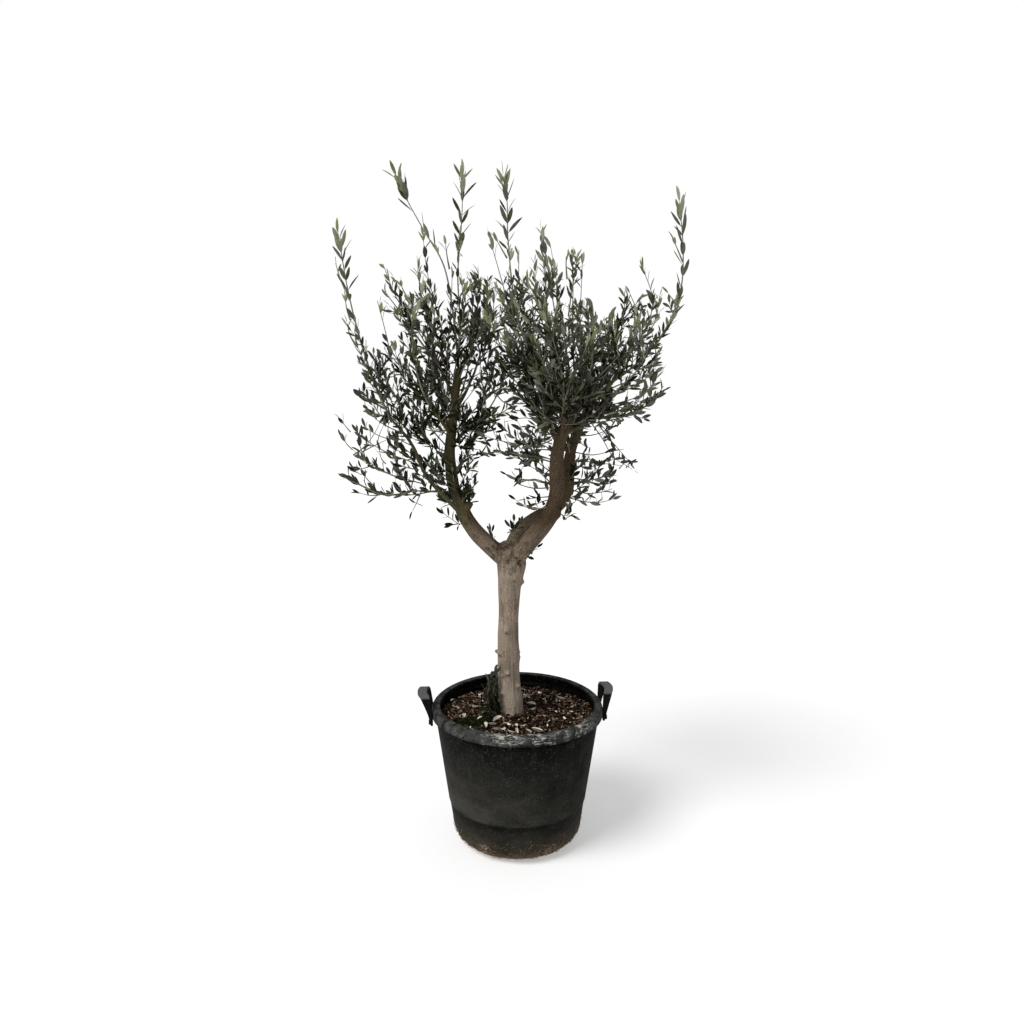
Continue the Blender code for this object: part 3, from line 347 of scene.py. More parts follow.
def makeTubPlastic():
    material, tree, shader = startMaterial("tubPlastic", 0.55, 0.02)
    place = objectPattern(tree)
    axes = objectHeight(tree)
    height = axes["Z"]
    outward = addNode(tree, "ShaderNodeVectorMath", {0: objectPattern(tree, (1.0, 1.0, 0.0))},
                      operation="LENGTH").outputs["Value"]
    patches = cloud(tree, place, 9.0, 6.0, 0.62)
    base = blendColours(tree, ramp(tree, patches, 0.35, 0.7), (0.0034, 0.0036, 0.0033),
                        (0.0092, 0.009, 0.008))
    # a film of dust that thickens down to the ring, with faint runs, and thickens again towards the foot; the
    # film's thinning towards the rim also paints the shade under it
    smear = cloud(tree, objectPattern(tree, (9.0, 9.0, 16.0)), 1.0, 6.0, 0.65)
    runs = cloud(tree, objectPattern(tree, (34.0, 34.0, 2.2)), 1.0, 5.0, 0.6)
    film = multiply(tree, multiply(tree, ramp(tree, height, 0.35, 0.135), ramp(tree, height, 0.124, 0.133)),
                    ramp(tree, smear, 0.22, 0.62))
    # the film also thins towards the right, a painted shade on the side away from the light
    film = multiply(tree, film, ramp(tree, axes["X"], 0.34, -0.04))
    base = blendColours(tree, film, base, (0.047, 0.045, 0.038))
    base = blendColours(tree, multiply(tree, ramp(tree, runs, 0.56, 0.8), ramp(tree, height, 0.06, 0.3)),
                        base, (0.03, 0.03, 0.027))
    lowFilm = multiply(tree, ramp(tree, height, 0.12, 0.045), ramp(tree, smear, 0.3, 0.6))
    base = blendColours(tree, lowFilm, base, (0.046, 0.041, 0.03))
    # painted shadow under the rim: the wall just below the band is darkened almost to black
    paintedRimShadow = multiply(tree, ramp(tree, height, 0.364, 0.385), ramp(tree, outward, 0.252, 0.249))
    base = blendColours(tree, paintedRimShadow, base, (0.0008, 0.0008, 0.0008))
    # fine grime in blotches over the wall
    grime = multiply(tree, ramp(tree, cloud(tree, place, 120.0, 8.0, 0.8), 0.5, 0.66),
                     ramp(tree, cloud(tree, place, 16.0, 5.0), 0.4, 0.6))
    grime = multiply(tree, grime, ramp(tree, outward, 0.2525, 0.2505))
    grime = multiply(tree, grime, 0.55)
    base = blendColours(tree, grime, base, (0.052, 0.053, 0.043))
    # dust on the band, not on the handles' cheeks nor inside the mouth
    band = multiply(tree, multiply(tree, ramp(tree, height, 0.388, 0.4), ramp(tree, outward, 0.259, 0.2584)),
                    ramp(tree, outward, 0.2325, 0.237))
    rimDust = multiply(tree, band, ramp(tree, cloud(tree, place, 36.0, 8.0, 0.72), 0.36, 0.72))
    base = blendColours(tree, rimDust, base, (0.078, 0.079, 0.075))
    # the grip's top is lightened: partly dust, partly painted light falling on it from above
    grip = multiply(tree, ramp(tree, height, 0.4545, 0.459), ramp(tree, outward, 0.2584, 0.259))
    base = blendColours(tree, grip, base, (0.085, 0.087, 0.085))
    specks = addNode(tree, "ShaderNodeTexVoronoi", {"Vector": place, "Scale": 210.0}).outputs["Distance"]
    specks = multiply(tree, ramp(tree, specks, 0.15, 0.09),
                      ramp(tree, cloud(tree, place, 24.0), 0.42, 0.56))
    base = blendColours(tree, specks, base, (0.2, 0.2, 0.18))
    # chalky scuffs, most on the front of the band
    chalk = cloud(tree, objectPattern(tree, (0.6, 1.0, 2.6)), 95.0, 8.0, 0.78)
    front = multiply(tree, ramp(tree, axes["Y"], -0.06, -0.2), band)
    chalk = multiply(tree, ramp(tree, chalk, 0.5, 0.58), front)
    chalk = multiply(tree, multiply(tree, chalk, ramp(tree, axes["X"], -0.22, 0.02)),
                     ramp(tree, cloud(tree, place, 23.0), 0.48, 0.62))
    base = blendColours(tree, chalk, base, (0.5, 0.49, 0.45))
    # earth along the bottom edge
    earth = multiply(tree, ramp(tree, height, 0.046, 0.004),
                     ramp(tree, cloud(tree, place, 34.0, 8.0, 0.7), 0.34, 0.6))
    base = blendColours(tree, earth, base, (0.15, 0.098, 0.06))
    sole = multiply(tree, ramp(tree, height, 0.022, 0.008),
                    ramp(tree, cloud(tree, place, 60.0, 6.0, 0.7), 0.42, 0.58))
    for side in (-1.0, 1.0):
        drain = distanceTo(tree, place, (side * 0.094, -0.166, 0.036))
        crumbs = multiply(tree, ramp(tree, drain, 0.026, 0.012),
                          ramp(tree, cloud(tree, place, 130.0, 6.0, 0.75), 0.5, 0.6))
        sole = calculate(tree, "MAXIMUM", sole, crumbs)
    base = blendColours(tree, sole, base, (0.33, 0.24, 0.17))
    tree.links.new(base, shader.inputs["Base Color"])
    shine = ramp(tree, cloud(tree, place, 26.0, 6.0), 0.3, 0.7)
    shine = addNode(tree, "ShaderNodeMapRange",
                    {"Value": shine, "To Min": 0.55, "To Max": 0.8}).outputs["Result"]
    tree.links.new(shine, shader.inputs["Roughness"])
    addBump(tree, shader, cloud(tree, place, 210.0, 6.0, 0.7), 0.25, 0.0012)
    return material


def makeTub(plastic):
    shape = turn(tubOutline(), tub["sides"])
    for corner in shape.verts:
        around = Vector((corner.co.x, corner.co.y, 0.0))
        if around.length > 0.1:
            bend = noise.noise(Vector((around.x * 5.0, around.y * 5.0, corner.co.z * 3.0)))
            bend += 0.5 * noise.noise(Vector((around.x * 14.0, around.y * 14.0, corner.co.z * 6.0 + 7.0)))
            corner.co += around.normalized() * bend * tub["waviness"]
            rise = min(1.0, max(0.0, (corner.co.z - 0.3) / 0.09)) * max(0.0, around.y / 0.25) ** 1.4
            corner.co.z += tub["backLift"] * rise
    piece = addPiece("tub_shell", meshFromBmesh("tub_shell", shape), [plastic])
    for index in range(tub["holes"]):
        angle = 2.0 * math.pi * index / tub["holes"]
        outward = Vector((math.cos(angle), math.sin(angle), 0.0))
        slope = (outward - Vector((0.0, 0.0, tub["holeSlope"]))).normalized()
        cone = bmesh.new()
        bmesh.ops.create_cone(cone, cap_ends=True, segments=20, depth=tub["corner"] * 0.6,
                              radius1=tub["holeRadius"], radius2=tub["holeRadius"])
        cone.transform(slope.to_track_quat("Z", "Y").to_matrix().to_4x4())
        place = outward * (tubWallRadius(tub["corner"]) - tub["corner"] * 0.25)
        place.z += tub["holeHeight"]
        cone.transform(Matrix.Translation(place))
        cutter = addPiece("hole_cutter", meshFromBmesh("hole_cutter", cone), [])
        modifier = piece.modifiers.new("hole", "BOOLEAN")
        modifier.object = cutter
        modifier.solver = "EXACT"
        graph = bpy.context.evaluated_depsgraph_get()
        drilled = bpy.data.meshes.new_from_object(piece.evaluated_get(graph))
        piece.modifiers.clear()
        piece.data = drilled
        bpy.data.objects.remove(cutter)
    piece.data.shade_smooth()
    piece.data.set_sharp_from_angle(angle=math.radians(38.0))
    finishPiece(piece, "tub", "pot")


tubPlastic = makeTubPlastic()
makeTub(tubPlastic)
print("tub made")


# handles: a strap bent into an arch, wider at the grip

handle = {
    "turn": 4.5, "halfSpan": 0.044, "top": 0.466, "foot": 0.372, "seat": 0.404, "strap": 0.0088,
    "shoulder": 0.0115,
    "footWidth": 0.006, "gripWidth": {"handle_left": 0.0275, "handle_right": 0.026},
    "leans": {"handle_left": 0.01, "handle_right": 0.002},
    "bow": 0.006, "round": 0.0012, "boss": 0.0075, "bossHeight": 0.3835,
}


def handleLine(steps):
    # up one cheek, across the grip and down the other
    middle = handle["top"] - handle["strap"] * 0.5
    shoulder = handle["shoulder"]
    right = [(handle["halfSpan"] - 0.004, handle["foot"]), (handle["halfSpan"], handle["foot"] + 0.008)]
    for index in range(1, 5):
        right.append((handle["halfSpan"],
                      handle["foot"] + 0.008 + (middle - shoulder - handle["foot"] - 0.008) * index / 5))
    for index in range(steps + 1):
        angle = math.radians(90.0 * index / steps)
        right.append((handle["halfSpan"] - shoulder * (1.0 - math.cos(angle)),
                      middle - shoulder * (1.0 - math.sin(angle))))
    grip = [(handle["halfSpan"] - shoulder) * (1.0 - 2.0 * index / 8) for index in range(1, 8)]
    left = [(-across, height) for across, height in right[::-1]]
    return right + [(across, middle) for across in grip] + left


def makeHandle(name, turnDegrees, plastic):
    line = handleLine(6)
    last = len(line) - 1
    shape = bmesh.new()
    rings = []
    for index, (across, height) in enumerate(line):
        before = line[max(index - 1, 0)]
        after = line[min(index + 1, last)]
        along = Vector((after[0] - before[0], after[1] - before[1])).normalized()
        normal = Vector((along.y, -along.x)) * handle["strap"] * 0.5
        rise = max(0.0, (height - handle["seat"]) / (handle["top"] - handle["seat"]))
        seat = math.sqrt(tub["rimRadius"] ** 2 - across ** 2)
        bow = handle["bow"] * max(0.0, 1.0 - (across / handle["halfSpan"]) ** 2) * rise
        near = seat + 0.0003 + handle["leans"][name] * rise ** 1.2 + bow
        low = min(1.0, max(0.0, (height - handle["foot"]) / (handle["top"] - 0.008 - handle["foot"])))
        far = near + handle["footWidth"] + (handle["gripWidth"][name] - handle["footWidth"]) * low
        ring = []
        for radius, side in ((near, 1), (far, 1), (far, -1), (near, -1)):
            ring.append(shape.verts.new((radius, across + normal.x * side, height + normal.y * side)))
        rings.append(ring)
    for low, high in zip(rings, rings[1:]):
        for corner in range(4):
            shape.faces.new((low[corner], low[(corner + 1) % 4], high[(corner + 1) % 4], high[corner]))
    shape.faces.new(rings[0])
    shape.faces.new(rings[-1])
    bmesh.ops.recalc_face_normals(shape, faces=shape.faces)
    sharp = [edge for edge in shape.edges if edge.calc_face_angle(0.0) > math.radians(50.0)]
    bmesh.ops.bevel(shape, geom=sharp, offset=handle["round"], segments=3, affect="EDGES",
                    clamp_overlap=True)
    # a round boss at the foot of each cheek
    for side in (-1.0, 1.0):
        boss = bmesh.ops.create_cone(shape, cap_ends=True, segments=24, depth=0.0125,
                                     radius1=handle["boss"] * 1.15, radius2=handle["boss"])["verts"]
        across = side * handle["halfSpan"]
        seat = math.sqrt(tub["rimRadius"] ** 2 - across ** 2)
        place = Matrix.Translation((seat + 0.0068, across - side * 0.0015, handle["bossHeight"]))
        bmesh.ops.transform(shape, matrix=place @ Matrix.Rotation(math.radians(90.0), 4, "Y"), verts=boss)
    shape.transform(Matrix.Rotation(math.radians(turnDegrees), 4, "Z"))
    piece = addPiece(name + "_grip", meshFromBmesh(name + "_grip", shape), [plastic])
    piece.data.set_sharp_from_angle(angle=math.radians(40.0))
    finishPiece(piece, "tub", name)


makeHandle("handle_right", handle["turn"], tubPlastic)
makeHandle("handle_left", 180.0 + handle["turn"], tubPlastic)
print("handles made")


# soil: a rough closed cake with bark chips strewn on it

soil = {
    "height": 0.384, "radius": 0.2345, "mound": 0.006, "moundRadius": 0.075, "rough": 0.006,
    "depth": 0.03,
    "rings": 60, "sides": 140,
}


def soilHeight(x, y):
    reach = math.hypot(x + 0.018, y)
    rise = soil["mound"] * math.exp(-(reach / soil["moundRadius"]) ** 2)
    rise += soil["rough"] * 0.7 * noise.noise(Vector((x * 16.0, y * 16.0, 1.3)))
    rise += soil["rough"] * 0.35 * noise.noise(Vector((x * 55.0, y * 55.0, 4.1)))
    rise += soil["rough"] * 0.22 * noise.noise(Vector((x * 150.0, y * 150.0, 8.7)))
    return soil["height"] + rise


def makeSoilEarth():
    material, tree, shader = startMaterial("soilEarth", 0.95, 0.01)
    place = objectPattern(tree)
    base = blendColours(tree, ramp(tree, cloud(tree, place, 70.0, 8.0, 0.7), 0.34, 0.66),
                        (0.0012, 0.0009, 0.0006), (0.048, 0.029, 0.019))
    base = blendColours(tree, ramp(tree, cloud(tree, place, 260.0, 4.0), 0.62, 0.72), base,
                        (0.22, 0.15, 0.1))
    # a mossy patch at the front left
    patch = ramp(tree, distanceTo(tree, place, (-0.13, -0.082, 0.385)), 0.085, 0.035)
    patch = multiply(tree, patch, ramp(tree, cloud(tree, place, 45.0, 6.0), 0.4, 0.55))
    base = blendColours(tree, patch, base, (0.012, 0.018, 0.006))
    tree.links.new(base, shader.inputs["Base Color"])
    addBump(tree, shader, cloud(tree, place, 170.0, 8.0, 0.75), 0.9, 0.004)
    return material


def makeSoil():
    shape = bmesh.new()
    rings = [[shape.verts.new((0.0, 0.0, soilHeight(0.0, 0.0)))]]
    for ringIndex in range(1, soil["rings"] + 1):
        radius = soil["radius"] * ringIndex / soil["rings"]
        ring = []
        for index in range(soil["sides"]):
            angle = 2.0 * math.pi * index / soil["sides"]
            x, y = radius * math.cos(angle), radius * math.sin(angle)
            ring.append(shape.verts.new((x, y, soilHeight(x, y))))
        rings.append(ring)
    floorRing = [shape.verts.new((corner.co.x, corner.co.y,
                                  soil["height"] - soil["depth"])) for corner in rings[-1]]
    rings += [floorRing, [shape.verts.new((0.0, 0.0, soil["height"] - soil["depth"]))]]
    joinRings(shape, rings, soil["sides"])
    piece = addPiece("soil_cake", meshFromBmesh("soil_cake", shape), [makeSoilEarth()])
    finishPiece(piece, "soil", "soil")


makeSoil()
print("soil made")


# limbs: the trunk, the boughs and the branches grow as one skin of bark

# each limb: what it grows from, whether from its tip, its first and last radius, points along its middle
limbs = {
    "left_bough_lower": {
        "on": "trunk", "tip": False, "radii": (0.0275, 0.02),
        "points": ((-0.02, 0.0, 0.845), (-0.07, 0.0, 0.894), (-0.118, 0.005, 0.94),
                   (-0.152, 0.01, 0.988), (-0.172, 0.015, 1.036)),
    },
    "left_bough_upper": {
        "on": "left_bough_lower", "tip": True, "radii": (0.0185, 0.011),
        "points": ((-0.188, 0.019, 1.08), (-0.198, 0.02, 1.17), (-0.191, 0.02, 1.245),
                   (-0.182, 0.025, 1.33), (-0.173, 0.03, 1.42)),
    },
    "left_outer_bough": {
        "on": "left_bough_lower", "tip": False, "radii": (0.0075, 0.0042),
        "points": ((-0.16, 0.0, 0.995), (-0.215, -0.022, 1.056), (-0.266, -0.024, 1.118),
                   (-0.298, -0.026, 1.194), (-0.328, -0.032, 1.24), (-0.357, -0.04, 1.274)),
    },
    "right_front_bough_lower": {
        "on": "trunk", "tip": False, "radii": (0.029, 0.024),
        "points": ((-0.018, -0.006, 0.846), (0.025, -0.022, 0.91), (0.059, -0.042, 0.955),
                   (0.088, -0.06, 0.996), (0.106, -0.074, 1.036)),
    },
    "right_front_bough_upper": {
        "on": "right_front_bough_lower", "tip": True, "radii": (0.023, 0.014),
        "points": ((0.111, -0.085, 1.085), (0.109, -0.09, 1.14), (0.112, -0.095, 1.193),
                   (0.126, -0.1, 1.241), (0.15, -0.1, 1.287), (0.176, -0.1, 1.33)),
    },
    "right_rear_bough_lower": {
        "on": "trunk", "tip": False, "radii": (0.027, 0.021),
        "points": ((-0.026, 0.012, 0.86), (0.006, 0.032, 0.934), (0.052, 0.056, 0.972),
                   (0.099, 0.074, 0.997), (0.138, 0.087, 1.029)),
    },
    "right_rear_bough_upper": {
        "on": "right_rear_bough_lower", "tip": True, "radii": (0.019, 0.012),
        "points": ((0.154, 0.096, 1.07), (0.155, 0.1, 1.134), (0.166, 0.105, 1.188),
                   (0.187, 0.11, 1.245), (0.211, 0.115, 1.296), (0.229, 0.12, 1.338)),
    },
    "right_inner_bough": {
        "on": "right_front_bough_upper", "tip": False, "radii": (0.012, 0.008),
        "points": ((0.115, -0.096, 1.21), (0.092, -0.1, 1.276), (0.078, -0.1, 1.331),
                   (0.064, -0.095, 1.385)),
    },
    "left_low_branch": {
        "on": "left_outer_bough", "tip": False, "radii": (0.004, 0.0026),
        "points": ((-0.226, -0.022, 1.068), (-0.262, -0.012, 1.067), (-0.3, -0.006, 1.068)),
    },
    "left_front_branch": {
        "on": "left_bough_upper", "tip": False, "radii": (0.0062, 0.0042),
        "points": ((-0.192, 0.02, 1.235), (-0.214, -0.045, 1.268), (-0.237, -0.1, 1.306)),
    },
    "left_back_branch": {
        "on": "left_bough_upper", "tip": False, "radii": (0.0062, 0.0042),
        "points": ((-0.194, 0.02, 1.21), (-0.212, 0.075, 1.272), (-0.234, 0.125, 1.325)),
    },
    "left_upper_branch": {
        "on": "left_bough_upper", "tip": False, "radii": (0.0062, 0.0042),
        "points": ((-0.182, 0.024, 1.33), (-0.205, 0.018, 1.384), (-0.232, 0.008, 1.436)),
    },
    "left_inner_branch": {
        "on": "left_bough_upper", "tip": False, "radii": (0.0062, 0.0042),
        "points": ((-0.188, 0.022, 1.29), (-0.155, 0.034, 1.345), (-0.13, 0.048, 1.4)),
    },
    "left_inner_low_branch": {
        "on": "left_bough_upper", "tip": False, "radii": (0.0052, 0.0036),
        "points": ((-0.197, 0.02, 1.19), (-0.165, 0.004, 1.225), (-0.14, -0.006, 1.248)),
    },
    "inner_low_branch": {
        "on": "right_front_bough_upper", "tip": False, "radii": (0.0052, 0.0036),
        "points": ((0.11, -0.088, 1.098), (0.082, -0.092, 1.1), (0.06, -0.092, 1.106)),
    },
    "right_low_branch": {
        "on": "right_front_bough_upper", "tip": False, "radii": (0.0062, 0.0042),
        "points": ((0.125, -0.1, 1.236), (0.172, -0.11, 1.262), (0.21, -0.112, 1.28)),
    },
    "right_front_branch": {
        "on": "right_front_bough_upper", "tip": False, "radii": (0.0072, 0.0046),
        "points": ((0.118, -0.098, 1.216), (0.122, -0.15, 1.268), (0.122, -0.2, 1.325)),
    },
    "right_rear_low_branch": {
        "on": "right_rear_bough_upper", "tip": False, "radii": (0.0052, 0.0036),
        "points": ((0.154, 0.098, 1.08), (0.184, 0.122, 1.078), (0.21, 0.142, 1.078)),
    },
    "right_back_branch": {
        "on": "right_rear_bough_upper", "tip": False, "radii": (0.0072, 0.0046),
        "points": ((0.184, 0.109, 1.236), (0.206, 0.165, 1.29), (0.222, 0.21, 1.345)),
    },
    "centre_back_branch": {
        "on": "right_rear_bough_upper", "tip": False, "radii": (0.0072, 0.0046),
        "points": ((0.16, 0.102, 1.16), (0.134, 0.148, 1.222), (0.105, 0.195, 1.275)),
    },
}

trunk = {
    "centre": (-0.018, 0.0),
    # across, back, height, radius
    "shaft": ((0.0, 0.0, 0.3783, 0.0405), (0.0, 0.0, 0.3883, 0.0388), (0.0, 0.0, 0.402, 0.037),
              (-0.002, 0.0, 0.43, 0.0352), (-0.006, 0.0, 0.47, 0.0335), (-0.009, 0.0, 0.58, 0.033),
              (-0.008, 0.0, 0.7, 0.0312), (-0.005, 0.0, 0.78, 0.034), (-0.002, 0.0, 0.82, 0.0395),
              (0.001, 0.0, 0.85, 0.044), (0.001, 0.002, 0.878, 0.041), (0.001, 0.003, 0.896, 0.03)),
    "voxel": 0.00235, "fissure": 0.0016, "lump": 0.003, "blend": 6,
}

# swellings and hollows in the bark: place, width, height
knots = (
    ((-0.052, -0.01, 0.582), 0.007, 0.008), ((-0.028, -0.033, 0.524), 0.006, 0.0085),
    ((0.002, -0.027, 0.481), 0.006, 0.0085), ((-0.046, -0.022, 0.457), 0.006, 0.0055),
    ((-0.046, -0.015, 0.513), 0.0055, 0.005), ((0.004, -0.024, 0.582), 0.0055, 0.0045),
    ((-0.031, -0.033, 0.654), 0.0075, 0.0085),
    ((-0.008, -0.03, 0.815), 0.009, 0.0055), ((0.017, 0.0, 0.794), 0.0085, 0.007),
    ((-0.028, -0.02, 0.866), 0.008, -0.0035),
    ((0.004, -0.038, 0.858), 0.007, -0.006), ((-0.057, -0.03, 0.897), 0.007, -0.005),
    ((-0.016, 0.033, 0.62), 0.009, 0.005), ((0.012, 0.016, 0.56), 0.008, 0.004),
    ((-0.04, 0.028, 0.74), 0.0085, 0.005), ((0.032, -0.03, 0.913), 0.015, 0.004),
    ((0.12, -0.06, 1.005), 0.013, 0.006), ((-0.15, -0.014, 0.985), 0.012, 0.004),
    ((0.101, -0.1, 1.234), 0.009, 0.005), ((-0.2, 0.004, 1.15), 0.009, 0.004),
    ((0.152, 0.08, 1.13), 0.01, 0.004), ((0.108, -0.108, 1.12), 0.01, 0.004),
    ((-0.051, -0.03, 0.909), 0.0055, -0.003), ((-0.069, -0.03, 0.906), 0.0045, -0.003),
    ((-0.083, -0.03, 0.9), 0.004, -0.003), ((-0.039, -0.03, 0.897), 0.006, -0.003),
    ((-0.057, -0.03, 0.888), 0.004, -0.003), ((-0.001, -0.03, 0.873), 0.005, -0.003),
    ((0.007, -0.03, 0.864), 0.0055, -0.003), ((0.01, -0.03, 0.852), 0.0045, -0.003),
    ((0.01, -0.03, 0.849), 0.004, -0.003), ((0.037, 0.01, 0.928), 0.006, -0.003),
    ((0.052, 0.01, 0.943), 0.006, -0.003), ((0.069, 0.01, 0.964), 0.006, -0.003),
    ((0.084, 0.01, 0.981), 0.0055, -0.003), ((-0.138, -0.02, 0.987), 0.006, -0.003),
    ((-0.165, -0.02, 0.981), 0.005, -0.003),
    ((0.031, 0.01, 0.919), 0.0045, -0.003), ((0.043, 0.01, 0.934), 0.0045, -0.003),
    ((0.061, 0.01, 0.952), 0.0045, -0.003),
    ((0.076, 0.01, 0.97), 0.0045, -0.003), ((0.093, 0.01, 0.991), 0.0045, -0.003),
)

# short stubs left by pruning: foot, end, first and last radius
stubs = (
    ((-0.068, -0.002, 0.897), (-0.016, 0.01, 0.914), 0.012, 0.0105),
    ((-0.156, 0.004, 1.0), (-0.137, -0.002, 1.033), 0.0125, 0.0105),
    ((0.108, -0.098, 1.222), (0.096, -0.108, 1.24), 0.007, 0.006),
    ((-0.044, -0.01, 0.576), (-0.0665, -0.018, 0.589), 0.007, 0.0052),
)


def planLimbs():
    # each limb is a smooth line of (x, y, z, radius)
    x, y = trunk["centre"]
    lines = {"trunk": smoothPath([(x + dx, y + dy, z, radius) for dx, dy, z, radius in trunk["shaft"]],
                                 0.01)}
    for name, limb in limbs.items():
        points = [Vector(point) for point in limb["points"]]
        if limb["tip"]:
            points.insert(0, lines[limb["on"]][-1].xyz)
        lengths = lengthsAlong(points)
        first, last = limb["radii"]
        if limb["tip"]:
            first = (first + lines[limb["on"]][-1].w) * 0.5
        sized = []
        for point, length in zip(points, lengths):
            sized.append((*point, first + (last - first) * length / lengths[-1]))
        lines[name] = smoothPath(sized, 0.01)
    return lines


def addTube(shape, line, sides):
    rings = []
    for (point, along, across), sized in zip(framesAlong([sized.xyz for sized in line]), line):
        upward = along.cross(across)
        ring = []
        for index in range(sides):
            angle = 2.0 * math.pi * index / sides
            aside = across * math.cos(angle) + upward * math.sin(angle)
            ring.append(shape.verts.new(point + aside * sized.w))
        rings.append(ring)
    for low, high in zip(rings, rings[1:]):
        for index in range(sides):
            after = (index + 1) % sides
            shape.faces.new((low[index], low[after], high[after], high[index]))
    shape.faces.new(rings[0][::-1])
    shape.faces.new(rings[-1])


def nearestOnLimbs(points, lines):
    # for each point: its turn about the nearest limb, the distance along that limb and the limb's radius
    starts, ends, alongs, acrosses, offsets, sizes = [], [], [], [], [], []
    for number, line in enumerate(lines.values()):
        middle = [sized.xyz for sized in line]
        frames = framesAlong(middle)
        lengths = lengthsAlong(middle)
        for index in range(len(line) - 1):
            starts.append(middle[index][:])
            ends.append(middle[index + 1][:])
            alongs.append(frames[index][1][:])
            acrosses.append(frames[index][2][:])
            offsets.append(lengths[index] + number * 3.7)
            sizes.append(line[index].w)
    lists = (starts, ends, alongs, acrosses, offsets, sizes)
    starts, ends, alongs, acrosses, offsets, sizes = map(np.array, lists)
    spans = ends - starts
    best = np.full(len(points), 1e9)
    which = np.zeros(len(points), dtype=int)
    shares = np.zeros(len(points))
    for index in range(len(starts)):
        aims = points - starts[index]
        share = np.clip(aims @ spans[index] / (spans[index] @ spans[index]), 0.0, 1.0)
        away = np.linalg.norm(aims - share[:, None] * spans[index], axis=1) - sizes[index]
        closer = away < best
        best[closer] = away[closer]
        which[closer] = index
        shares[closer] = share[closer]
    along = alongs[which]
    across = acrosses[which]
    upward = np.cross(along, across)
    middle = starts[which] + shares[:, None] * spans[which]
    out = points - middle
    spin = np.arctan2((out * upward).sum(axis=1), (out * across).sum(axis=1))
    return spin, offsets[which] + shares * np.linalg.norm(spans[which], axis=1), sizes[which]


def makeBarkWood():
    material, tree, shader = startMaterial("barkWood", 0.9, 0.06)
    grain = addNode(tree, "ShaderNodeAttribute", attribute_name="grainPlace").outputs["Vector"]
    thin = addNode(tree, "ShaderNodeAttribute", attribute_name="boughToneAndRearShade").outputs["Fac"]
    hollowShadeAndHighlight = addNode(tree, "ShaderNodeAttribute", attribute_name="hollowShadeAndHighlight").outputs["Fac"]
    drawn = addNode(tree, "ShaderNodeMapping",
                    {"Vector": grain, "Scale": (1.0, 1.0, 0.13)}).outputs["Vector"]
    patches = cloud(tree, objectPattern(tree), 24.0, 5.0, 0.6)
    streaks = cloud(tree, drawn, 260.0, 8.0, 0.7)
    broad = cloud(tree, drawn, 75.0, 6.0, 0.65)
    place = objectPattern(tree)
    grit = cloud(tree, place, 330.0, 6.0, 0.75)
    trunkTone = blendColours(tree, ramp(tree, grit, 0.34, 0.64), (0.128, 0.094, 0.067),
                             (0.405, 0.325, 0.25))
    furrows = multiply(tree, ramp(tree, streaks, 0.53, 0.39), ramp(tree, broad, 0.36, 0.6))
    trunkTone = blendColours(tree, furrows, trunkTone, (0.128, 0.098, 0.072))
    trunkTone = blendColours(tree, ramp(tree, patches, 0.45, 0.72), trunkTone, (0.24, 0.196, 0.146))
    pits = addNode(tree, "ShaderNodeTexVoronoi", {"Vector": place, "Scale": 170.0}).outputs["Distance"]
    fork = ramp(tree, distanceTo(tree, place, (-0.025, -0.03, 0.888)), 0.07, 0.045)
    pitted = calculate(tree, "MAXIMUM", ramp(tree, cloud(tree, place, 22.0, 4.0), 0.52, 0.64), fork)
    pits = multiply(tree, ramp(tree, pits, 0.36, 0.22), pitted)
    trunkTone = blendColours(tree, pits, trunkTone, (0.052, 0.029, 0.02))
    flakes = addNode(tree, "ShaderNodeTexVoronoi",
                     {"Vector": place, "Scale": 120.0, "Randomness": 1.0}).outputs["Distance"]
    flakes = multiply(tree, ramp(tree, flakes, 0.16, 0.1),
                      ramp(tree, cloud(tree, place, 31.0, 3.0), 0.5, 0.6))
    trunkTone = blendColours(tree, flakes, trunkTone, (0.5, 0.46, 0.39))
    boughTone = blendColours(tree, ramp(tree, grit, 0.36, 0.64), (0.01, 0.0065, 0.0035),
                             (0.124, 0.086, 0.052))
    film = multiply(tree, ramp(tree, patches, 0.5, 0.72), ramp(tree, broad, 0.35, 0.6))
    boughTone = blendColours(tree, film, boughTone, (0.062, 0.056, 0.034))
    moss = ramp(tree, objectHeight(tree)["X"], -0.12, -0.165)
    boughTone = blendColours(tree, multiply(tree, moss, ramp(tree, grit, 0.25, 0.6)), boughTone,
                             (0.088, 0.08, 0.038))
    blotch = multiply(tree, ramp(tree, cloud(tree, place, 44.0, 6.0, 0.7), 0.5, 0.62),
                      ramp(tree, objectHeight(tree)["Z"], 0.79, 0.88))
    trunkTone = blendColours(tree, blotch, trunkTone, (0.088, 0.074, 0.048))
    # the bough tone from the fork up, and on the rear bough as a painted shade
    base = blendColours(tree, thin, trunkTone, boughTone)
    foot = ramp(tree, objectHeight(tree)["Z"], 0.6, 0.44)
    base = blendColours(tree, multiply(tree, foot, ramp(tree, grit, 0.3, 0.8)), base, (0.52, 0.45, 0.37))
    # painted shade in the fissures, pits and creases under knobs, partly the darker bark there; the negative
    # side is a painted highlight on the knobs' crowns
    base = blendColours(tree, hollowShadeAndHighlight, base, (0.044, 0.027, 0.018))
    base = blendColours(tree, ramp(tree, hollowShadeAndHighlight, 0.0, -0.8), base, (0.46, 0.41, 0.33))
    tree.links.new(base, shader.inputs["Base Color"])
    addBump(tree, shader, calculate(tree, "ADD", streaks, grit), 0.7, 0.0018)
    return material


